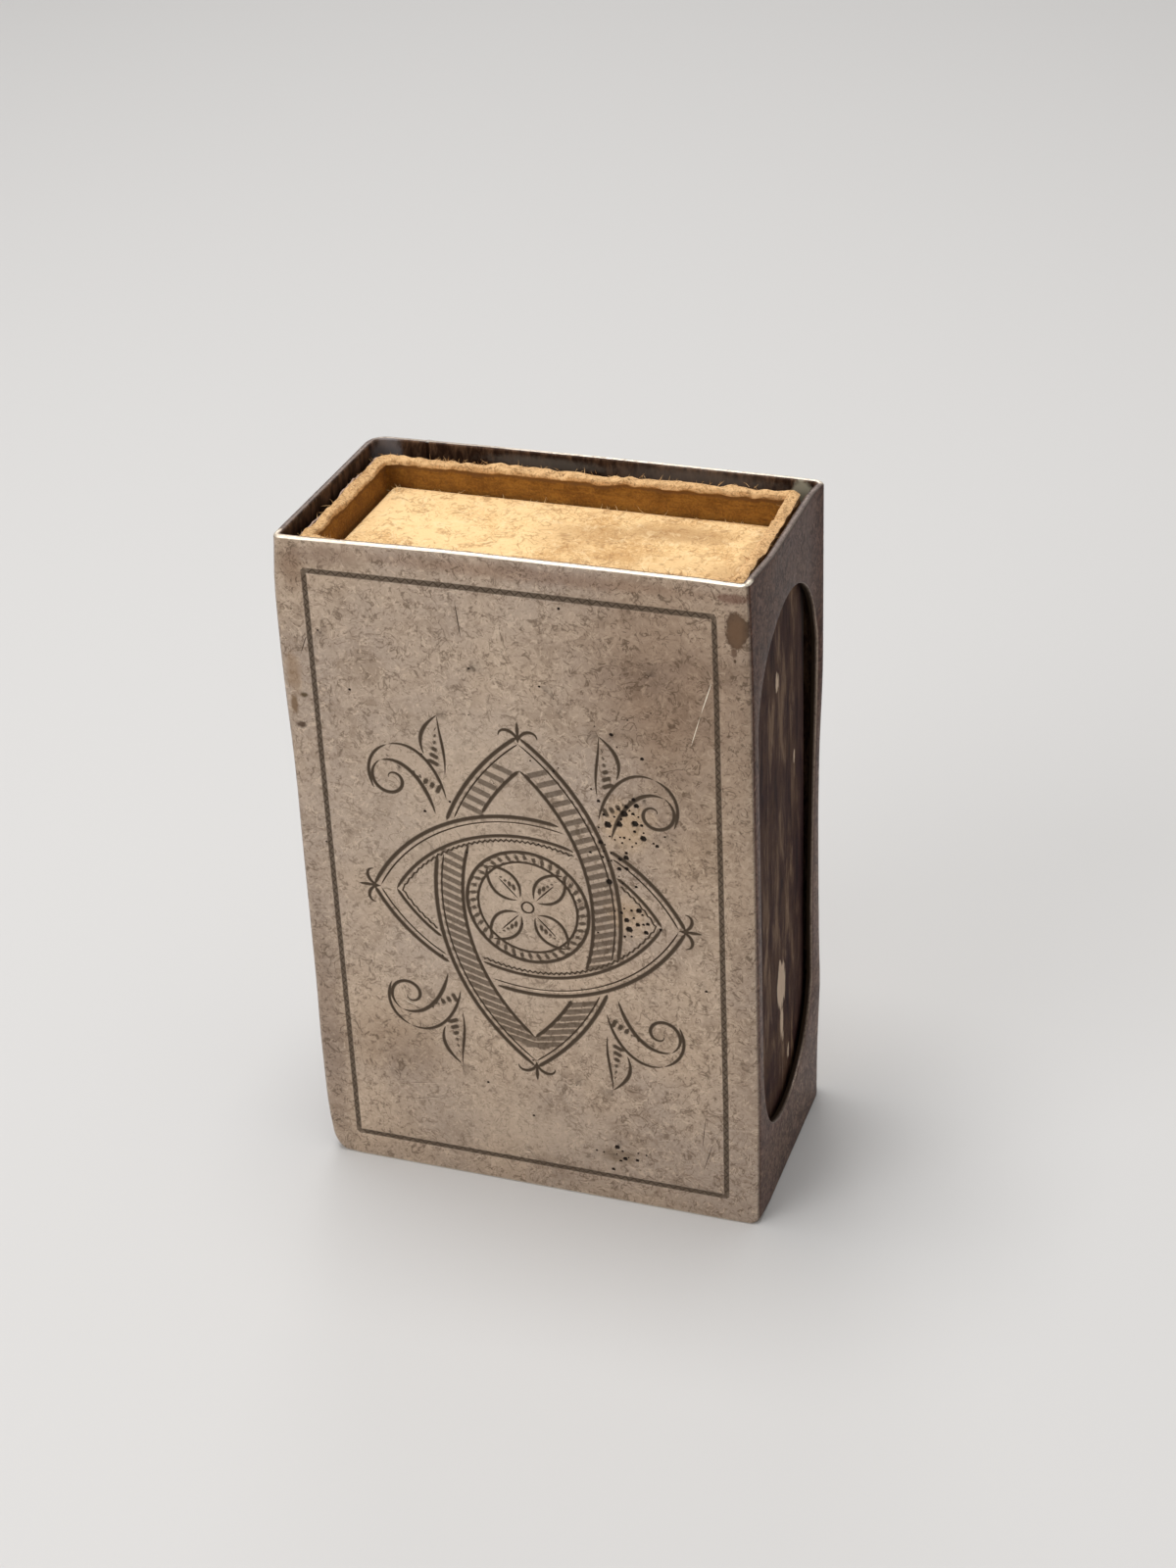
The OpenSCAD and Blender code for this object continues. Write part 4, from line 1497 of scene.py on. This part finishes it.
def make_case():
    solid = Solid()
    along = case_fold.columns(0.3, 5)
    shape = {"rough": 0.16, "tear": 0.48, "dome": 0.22, "seed": 31}
    insets, heights, torn = board_profile(case_fold, along, 0, CASE_H + FRAY, facing_way, **shape)
    x, _ = case_fold.section(along, 0)
    puffed = FRAY_RIGHT * (x / HALF_W)[:, None] * np.clip((heights - CASE_H + 3) / 3, 0, 1)
    swept(solid, case_fold, along, insets, heights + puffed, facing_way, torn)
    draw = np.random.default_rng(5)
    count = CASE_FIBRES
    u = draw.uniform(case_fold.left_end, case_fold.right_end, count)
    depth = draw.uniform(0.1, CASE_BOARD_T - 0.1, count)
    x, y = case_fold.section(u, depth)
    top = CASE_H + FRAY + FRAY_RIGHT * x / HALF_W
    roots = facing_way(x, y, top - draw.uniform(0.2, 0.4, count))
    ways = draw.normal((0, 0, 0.5), (0.8, 0.8, 0.5), (count, 3))
    ways[:, 2] = np.abs(ways[:, 2]) * 0.6 + 0.15
    add_fibres(solid, roots, ways, draw.uniform(0.25, 0.7, count), CASE_FIBRE_R, draw)
    solid.build("case_walls", strawboard, "matchbox_case", ["case_board"], 50)


make_case()

# %% [markdown]
# ### The wrapping paper
# The wrap is as thin as writing paper. Through the windows it shows only as a rim beside the strikers,
# painted nearly black as shade, and on top as a worn pinkish edge outside the board.

# %% Wrapping paper
WRAP_T = 0.15
WRAP_R = 0.88
WRAP_LAP = 8.0
WRAP_FRAY = 0.35
WRAP_PINK = (0.50, 0.34, 0.26)
WRAP_BROWN = (0.32, 0.19, 0.13)
WRAP_PALE = (0.60, 0.46, 0.36)
WRAP_STAIN = (0.14, 0.08, 0.05)
WRAP_PAINTED_SHADE = (0.012, 0.006, 0.005)
WRAP_WORN = (0.50, 0.35, 0.27)
wrap_low, wrap_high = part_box("case_wrap_paper")
WRAP_SIDE, WRAP_TOP = wrap_high.x / MM, wrap_high.z / MM


def make_wrap_finish():
    paper = Finish("pink_wrap_paper")
    clouds = paper.grain(5, 5, 0.6)
    felt = paper.grain(0.3, 5, 0.7, swirl=1.0)
    colour = paper.blend(paper.ramp(clouds, 0.35, 0.65), WRAP_PINK, WRAP_BROWN)
    colour = paper.lay(WRAP_PALE, colour, felt, 0.3)
    colour = paper.lay(WRAP_STAIN, colour, paper.ramp(paper.grain(2.2, 4), 0.58, 0.7), 0.5)
    # Painted shade: the paper near both narrow sides is laid nearly black.
    shaded_sides = paper.ramp(paper.calc("ABSOLUTE", paper.x), WRAP_SIDE - 1.0, WRAP_SIDE - 0.5)
    colour = paper.lay(WRAP_PAINTED_SHADE, colour, shaded_sides, 0.97)
    worn_top = paper.ramp(paper.z, WRAP_TOP - 1.6, WRAP_TOP - 0.9)
    colour = paper.lay(WRAP_WORN, colour, worn_top, 0.9)
    skin = paper.bump(felt, 0.03)
    return paper.done(Base_Color=colour, Roughness=0.85, Specular_IOR_Level=0.25, Normal=skin)


def make_wrap():
    solid = Solid()
    half_d = wrap_high.y / MM
    fold = Fold(WRAP_SIDE, half_d, [WRAP_R] * 4, WRAP_T, WRAP_R - WRAP_T)
    along = fold.columns(0.5, 5)
    start, end = wrap_low.z / MM, WRAP_TOP
    shape = {"rough": 0.015, "tear": 0.6, "dome": 0.04, "seed": 47}
    profile = board_profile(fold, along, start, end + WRAP_FRAY, upright_way, **shape)
    swept(solid, fold, along, profile[0], profile[1], upright_way, profile[2])
    rings = []
    for z in np.linspace(start + 0.3, end - 0.5, 90):
        edge = 0.06 * noise.noise(Vector((1.7, 0, z * 0.6)))
        reach = WRAP_LAP / 2 + edge
        outline = [(-reach, 0.01), (0.1 - reach, 0.13), (0, 0.145), (reach - 0.1, 0.13), (reach, 0.01)]
        rings.append(solid.add([(SEAM_X + x, -half_d - y, z) for x, y in outline]))
    solid.tube(rings)
    finish = make_wrap_finish()
    solid.build("case_wrap", finish, "matchbox_case", ["case_wrap_paper"], 50)


make_wrap()

# %% [markdown]
# ## The strikers
# Each narrow side carries a strip of striking mix, ground glass and red phosphorus in glue, which has
# aged to a dark purple brown. Matches have dragged long pale streaks down it and worn it through to
# the paper in a few spots. The worn spots are shallow hollows in the mesh and carry a mark.

# %% The striking mix
MIX_PURPLE = (0.048, 0.020, 0.016)
MIX_BROWN = (0.080, 0.040, 0.024)
MIX_EDGE = (0.045, 0.022, 0.024)
MIX_DRAGGED = (0.190, 0.112, 0.064)
MIX_PALE = (0.33, 0.22, 0.14)
MIX_BLACK = (0.022, 0.010, 0.011)
GRIT_BLACK = (0.02, 0.012, 0.012)
BARE_PAPER = (0.72, 0.56, 0.42)
BARE_BROWN = (0.46, 0.33, 0.23)


def make_striker_finish():
    mix = Finish("striking_mix")
    grit = mix.grain(0.16, 3, 0.7)
    drag = mix.grain(1.6, 6, 0.66, swirl=0.35, place=mix.stretched((1, 1, 0.20)))
    fine = mix.grain(0.45, 4, 0.65, swirl=0.3, place=mix.stretched((1, 1, 0.16)))
    clouds = mix.grain(3.6, 4)
    worn = mix.mark("worn")
    colour = mix.blend(mix.ramp(clouds, 0.35, 0.65), MIX_PURPLE, MIX_BROWN)
    edge = mix.ramp(mix.calc("ABSOLUTE", mix.y), 4.0, 6.8)
    colour = mix.lay(MIX_EDGE, colour, edge, 0.6)
    streaks = mix.times(mix.ramp(drag, 0.50, 0.66), mix.ramp(edge, 1.0, 0.0, 0.35, 0.95))
    colour = mix.blend(streaks, colour, MIX_DRAGGED)
    colour = mix.lay(MIX_PALE, colour, mix.ramp(fine, 0.54, 0.70), streaks, 0.8)
    colour = mix.lay(MIX_BLACK, colour, mix.ramp(drag, 0.46, 0.36), 0.85)
    colour = mix.lay(GRIT_BLACK, colour, mix.ramp(grit, 0.6, 0.75), 0.3)
    ragged = mix.calc("ADD", mix.times(mix.calc("SUBTRACT", fine, 0.5), 1.3), worn)
    paper = mix.blend(fine, BARE_PAPER, BARE_BROWN)
    colour = mix.blend(mix.ramp(ragged, 0.30, 0.52), colour, paper)
    skin = mix.bump(drag, 0.04, mix.bump(grit, 0.05))
    rough = mix.ramp(drag, 0.4, 0.7, 0.75, 0.6)
    return mix.done(Base_Color=colour, Roughness=rough, Specular_IOR_Level=0.10, Normal=skin)


striking_mix = make_striker_finish()

# %% Striking strips
# Each worn spot is its middle and its half sizes, in y and z.
WORN_SPOTS = [
    ((-0.3, 45.8), (0.40, 1.0)),
    ((0.5, 16.9), (1.30, 2.2)),
    ((0.1, 18.6), (0.45, 1.2)),
    ((0.6, 13.3), (0.40, 1.6)),
    ((0.7, 11.7), (0.22, 0.9)),
    ((2.5, 8.9), (0.20, 0.9)),
    ((4.6, 36.6), (0.22, 0.7)),
]
# The back edge of a strip, against the height: it was cut aslant at the top.
BACK_EDGE_AT = (0.4, 13.5, 22.0, 32.0, 39.6, 46.0, 50.0, 57.1)
BACK_EDGE = (7.67, 7.67, 7.67, 7.67, 7.62, 7.2, 6.8, 6.5)
STRIP_NET = (37, 121)
SKIN_DEPTH = 0.02
DRAG_DEPTH = 0.012
GRIT_DEPTH = 0.008
WORN_DEPTH = 0.05
EDGE_DEPTH = 0.06
NIBBLED = 0.10


def make_striker(side, node):
    """A strip on one narrow side: 1 is the right one, -1 the left one."""
    solid = Solid()
    low, high = box_of(node)
    thick = high.x - low.x
    ys, zs = np.linspace(low.y, high.y, STRIP_NET[0]), np.linspace(low.z, high.z, STRIP_NET[1])
    grid_y, grid_z = np.meshgrid(ys, zs)
    flat_y, flat_z = grid_y.ravel(), grid_z.ravel()
    face = np.stack([0 * flat_y + side * 60, flat_y, flat_z * 0.12], 1)
    drag = waves(face, 0.5, 3)
    grit = waves(np.stack([0 * flat_y + side * 9, flat_y, flat_z], 1), 0.22, 8)
    worn = np.zeros(len(flat_y))
    for (y, z), (half_y, half_z) in WORN_SPOTS:
        away = np.hypot((flat_y - y) / half_y, (flat_z - z) / half_z)
        worn = np.maximum(worn, np.clip(1.35 - away, 0, 1))
    depth = SKIN_DEPTH + DRAG_DEPTH * drag + GRIT_DEPTH * grit + WORN_DEPTH * worn
    edge = np.minimum.reduce([flat_y - low.y, high.y - flat_y, flat_z - low.z, high.z - flat_z])
    on_edge = edge < 1e-6
    depth = np.where(on_edge, EDGE_DEPTH, depth)
    nibble = np.abs(NIBBLED * waves(np.stack([flat_z * 0, flat_y, flat_z], 1), 1.3, 12))
    at_long_edge = np.abs(flat_y) > high.y - 0.01
    pulled_y = flat_y - np.sign(flat_y) * on_edge * nibble * at_long_edge
    slant = np.interp(flat_z, BACK_EDGE_AT, BACK_EDGE) - high.y
    pulled_y = pulled_y + slant * np.clip(pulled_y / high.y, 0, 1)
    outside = side * (side * (high.x if side > 0 else low.x) - depth)
    top = solid.add(np.stack([outside, pulled_y, flat_z], 1), worn=worn).reshape(grid_y.shape)
    for before, row in zip(top[:-1], top[1:]):
        solid.strip(before, row)
    loop = np.concatenate([top[0, :-1], top[:-1, -1], top[-1, :0:-1], top[:0:-1, 0]])
    inside_x = outside[0] - side * (thick - EDGE_DEPTH)
    base = solid.add([(inside_x, *solid.points[i][1:]) for i in loop])
    solid.strip(loop, base, closed=True)
    solid.faces.append(tuple(base[::-1]))
    name = node.replace("striker", "striking_strip")
    solid.build(name, striking_mix, "matchbox_case", [node], 60)


for side, node in ((1, "striker_right"), (-1, "striker_left")):
    make_striker(side, node)

# %% [markdown]
# ## The tray
# The tray stands on end inside its case, so its end panel is the pale surface that shows on top. The
# walls are board, and a thin cream paper goes round them and turns over onto the back. The walls and
# the floor keep the shape that the CAD gave them and only take a finish. The paper is rebuilt, soft
# and a little wavy, with loose fibres on the end panel, half of them along its back edge.

# %% Tray paper: sizes and finish
TRAY_PAPER_T = 0.15
TRAY_PAPER_R = 0.78
TRAY_TURN = 3.0
PAPER_LIGHT = (0.90, 0.62, 0.31)
PAPER_TAN = (0.60, 0.345, 0.135)
PAPER_BROWN = (0.38, 0.20, 0.075)
PAPER_PALE = (0.95, 0.76, 0.48)
PAPER_CREAM = (0.95, 0.74, 0.44)
PAPER_SPECK = (0.34, 0.17, 0.06)

# Each stain is its middle in x and y, its two radii and its share.
PAPER_STAINS = [
    ((9.0, 4.0), (4.0, 1.5), 0.62),
    ((2.5, 2.6), (4.0, 1.5), 0.45),
    ((0.5, 0.2), (2.5, 1.3), 0.25),
    ((14.8, -3.6), (1.6, 3.4), 0.45),
    ((15.6, 2.0), (0.7, 5.0), 0.45),
    ((8.0, -1.5), (6.0, 2.2), 0.20),
]
PAPER_STAIN_EDGE = 0.6
tray_low, tray_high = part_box("tray_paper")
TRAY_MIDDLE = (tray_low.z + tray_high.z) / 2 / MM
TRAY_FRONT, TRAY_BACK = tray_low.y / MM, tray_high.y / MM
TRAY_TOP = tray_high.z / MM


def make_tray_paper_finish():
    paper = Finish("old_tray_paper")
    felt = paper.grain(0.6, 6, 0.68, swirl=2.4)
    fine = paper.grain(0.2, 4, 0.7, swirl=1.2)
    clouds = paper.grain(4.5, 5, 0.6)
    strands = paper.grain(0.34, 3, place=paper.stretched((0.35, 2.2, 2.2), (0.2, 0.1, 0.5)))
    tone = paper.calc("ADD", paper.times(felt, 0.40), paper.times(clouds, 0.40))
    tone = paper.calc("ADD", tone, paper.times(fine, 0.2))
    # Painted light: the paper is made paler towards the left, which faces the light.
    painted_light_from_left = paper.calc("ADD", tone, paper.ramp(paper.x, -14, 4, -0.045, 0.0))
    colour = paper.blend(paper.ramp(painted_light_from_left, 0.45, 0.60), PAPER_LIGHT, PAPER_TAN)
    colour = paper.lay(PAPER_PALE, colour, paper.ramp(strands, 0.58, 0.75), 0.2)
    on_top = paper.ramp(paper.z, TRAY_TOP - 1.2, TRAY_TOP - 0.6)
    for centre, radii, share in PAPER_STAINS:
        spot = paper.spot(centre, radii, PAPER_STAIN_EDGE, "xy")
        colour = paper.lay(PAPER_BROWN, colour, spot, share, on_top)
    colour = paper.lay(PAPER_BROWN, colour, paper.hairs(2.2, 0.05, 0.3), 0.60)
    colour = paper.lay(PAPER_BROWN, colour, paper.hairs(1.4, 0.05, 1.9), 0.50)
    colour = paper.lay(PAPER_CREAM, colour, paper.hairs(1.8, 0.05, 1.1), 0.35)
    colour = paper.lay(PAPER_SPECK, colour, paper.ramp(paper.grain(0.26, 2), 0.71, 0.78), 0.5)
    skin = paper.bump(strands, 0.05, paper.bump(felt, 0.08))
    return paper.done(Base_Color=colour, Roughness=0.85, Specular_IOR_Level=0.3, Normal=skin)


tray_paper_finish = make_tray_paper_finish()

# %% Tray paper: the wrapper
FUZZ_EDGE = 16.2
FUZZ_BACK = (6.2, 7.2)
FUZZ_COUNT = 260
FUZZ_R = 0.02


def tray_way(x, y, h):
    """Lays a section across the tray: its second direction runs down, and its height runs back."""
    return np.stack([x, h, TRAY_MIDDLE - y], -1)


def tray_profile(fold, along):
    """Depths and heights from the front edge back, over the turned flap and forward inside."""
    t = TRAY_PAPER_T
    steps = np.concatenate([[0, 0.15, 0.4, 0.8], np.arange(1.4, 13.6, 0.7), [13.9, 14.2]])
    length = TRAY_BACK - TRAY_FRONT
    outside = [(0.0, TRAY_FRONT + s) for s in steps]
    corner = [(0.05, TRAY_BACK - 0.05)]
    flap = [(d, TRAY_BACK) for d in (0.15, 0.8, 1.6, 2.4, TRAY_TURN)]
    flap_back = [(d, TRAY_BACK - t) for d in (TRAY_TURN, 2.4, 1.6, 0.8, t)]
    inside = [(t, TRAY_BACK - s) for s in np.linspace(0.8, length - 0.4, 12)]
    inside += [(t, TRAY_FRONT + 0.02), (t / 2, TRAY_FRONT)]
    profile = np.array(outside + corner + flap + flap_back + inside)
    insets = np.tile(profile[:, 0], (len(along), 1))
    heights = np.tile(profile[:, 1], (len(along), 1))
    x, y = fold.section(along[:, None] + 0 * insets, np.minimum(insets, t))
    places = tray_way(x, y, heights).reshape(-1, 3)
    sag = (waves(places, 5, 61) + 0.35 * waves(places, 1.2, 66)).reshape(insets.shape)
    outer_side = insets < 0.1
    on_edge = np.clip(1 - np.abs(heights - TRAY_FRONT) / 0.6, 0, 1)
    tears = (0.5 + 0.5 * waves(places, 1.4, 71)).reshape(insets.shape)
    insets = insets + 0.03 * (1 + sag) * outer_side
    insets = np.where(outer_side, np.minimum(insets, t - 0.04), insets)
    heights = heights + 0.18 * tears * on_edge
    return insets, heights, on_edge


def make_tray_paper():
    solid = Solid()
    half_h = (tray_high.z - tray_low.z) / 2 / MM
    least = TRAY_PAPER_R - TRAY_PAPER_T
    fold = Fold(tray_high.x / MM, half_h, [TRAY_PAPER_R] * 4, TRAY_PAPER_T, least)
    along = fold.columns(0.6, 6)
    insets, heights, torn = tray_profile(fold, along)
    swept(solid, fold, along, insets, heights, tray_way, torn)
    draw = np.random.default_rng(17)
    count = FUZZ_COUNT
    x = draw.uniform(-FUZZ_EDGE, FUZZ_EDGE, count)
    at_back = draw.random(count) < 0.5
    back_y = draw.uniform(*FUZZ_BACK, count)
    y = np.where(at_back, back_y, draw.uniform(-FUZZ_BACK[1], FUZZ_BACK[1], count))
    roots = np.stack([x, y, np.full(count, TRAY_TOP - 0.09)], 1)
    ways = draw.normal(0, 1, (count, 3))
    ways[:, 2] = np.abs(ways[:, 2]) * 0.22 + 0.05
    add_fibres(solid, roots, ways, draw.uniform(0.3, 0.9, count), FUZZ_R, draw)
    solid.build("tray_wrapper", tray_paper_finish, "tray", ["tray_paper"], 50)


make_tray_paper()
for node in ("tray_walls", "tray_floor"):
    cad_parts[node].data.materials.clear()
    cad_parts[node].data.materials.append(tray_board)
print("board finish on:", "tray_walls", "tray_floor")

# %% [markdown]
# ## The matches
# The tray still holds its matches. A splint is split from a block of aspen, so its faces are a little
# uneven and its corners not quite sharp. The head is dipped, which leaves a drop with a rounded nose
# and a thin skirt down the wood. Each match gets its own small irregularities from its number.

# %% Match finishes
ASPEN_PALE, ASPEN_TAN, ASPEN_BROWN = (0.74, 0.58, 0.37), (0.62, 0.45, 0.26), (0.46, 0.30, 0.15)
HEAD_RED, HEAD_DARK, HEAD_DUST = (0.17, 0.035, 0.022), (0.085, 0.022, 0.018), (0.34, 0.13, 0.09)


def make_wood_finish():
    wood = Finish("aspen_splint")
    grain = wood.grain(0.5, 5, 0.6, place=wood.stretched((1, 1, 0.06)))
    each = wood.grain(2.1, 1, place=wood.stretched((1, 1, 0)))
    colour = wood.blend(wood.ramp(each, 0.35, 0.65), ASPEN_PALE, ASPEN_TAN)
    colour = wood.lay(ASPEN_BROWN, colour, wood.ramp(grain, 0.45, 0.7), 0.5)
    skin = wood.bump(grain, 0.06)
    return wood.done(Base_Color=colour, Roughness=0.7, Normal=skin)


def make_head_finish():
    head = Finish("match_head")
    clots = head.grain(0.45, 5, 0.65)
    dust = head.grain(0.14, 3)
    colour = head.blend(head.ramp(clots, 0.35, 0.65), HEAD_RED, HEAD_DARK)
    colour = head.lay(HEAD_DUST, colour, head.ramp(dust, 0.62, 0.74), 0.5)
    rough = head.ramp(clots, 0.3, 0.7, 0.45, 0.7)
    skin = head.bump(dust, 0.03, head.bump(clots, 0.08))
    return head.done(Base_Color=colour, Roughness=rough, Normal=skin)


wood_finish = make_wood_finish()
head_finish = make_head_finish()

# %% Splints and heads
SPLINT_CORNER = 0.12
SPLINT_BOW = 0.03
SKIRT_R = 1.46
HEAD_CORNERS = np.radians(np.arange(0, 360, 22.5))


def make_splint(number, node):
    """A square splint with soft corners and a slight bow of its own."""
    solid = Solid()
    low, high = box_of(node)
    middle = (low + high) / 2
    half = (high.x - low.x) / 2
    rings = []
    draw = np.random.default_rng(100 + number)
    bow = draw.normal(0, SPLINT_BOW, 2)
    for share in np.linspace(0, 1, 15):
        z = low.z + (high.z - low.z) * share
        reach = half - 0.02 - 0.03 * draw.random()
        arch = math.sin(share * math.pi)
        outline = []
        for sx, sy in ((1, 1), (-1, 1), (-1, -1), (1, -1)):
            cut_back = reach - SPLINT_CORNER
            a, b = (cut_back, reach) if sx == sy else (reach, cut_back)
            outline += [(sx * a, sy * b), (sx * b, sy * a)]
        points = [(middle.x + x + bow[0] * arch, middle.y + y + bow[1] * arch, z) for x, y in outline]
        rings.append(solid.add(points))
    solid.tube(rings)
    solid.build(f"splint_{number:02d}", wood_finish, "tray", [node], 35)


def make_head(number, node):
    """A dipped drop: a skirt down the wood, a swelling side and a rounded nose."""
    solid = Solid()
    low, high = box_of(node)
    middle = (low + high) / 2
    nose_r = (high.x - low.x) / 2
    ball_z = high.z - nose_r
    rise = [(SKIRT_R - 0.3, low.z + 0.1), (SKIRT_R - 0.1, low.z)]
    for share in (0.06, 0.25, 0.5, 0.75):
        rise.append((SKIRT_R + (nose_r - SKIRT_R) * share, low.z + (ball_z - low.z) * share))
    for angle in np.radians(np.arange(0, 90, 13)):
        rise.append((nose_r * math.cos(angle), ball_z + nose_r * math.sin(angle)))
    rings = []
    for radius, z in rise:
        points = []
        for way in [Vector((math.cos(a), math.sin(a), 0)) for a in HEAD_CORNERS]:
            spot = Vector((middle.x, middle.y, z)) + way * radius
            lump = 0.05 * (noise.noise(spot * 0.9 + Vector((number, 0, 0))) - 0.5)
            lump += 0.02 * (noise.noise(spot * 3.1) - 0.5)
            points.append(spot + way * lump)
        rings.append(solid.add(points))
    solid.spike(rings, solid.add([(middle.x, middle.y, high.z - 0.03)])[0])
    solid.build(f"dipped_head_{number:02d}", head_finish, "tray", [node], 60)


match_count = sum(name.startswith("match_stick_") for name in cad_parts)
for number in range(1, match_count + 1):
    make_splint(number, f"match_stick_{number:02d}")
    make_head(number, f"match_head_{number:02d}")
print("matches:", match_count)
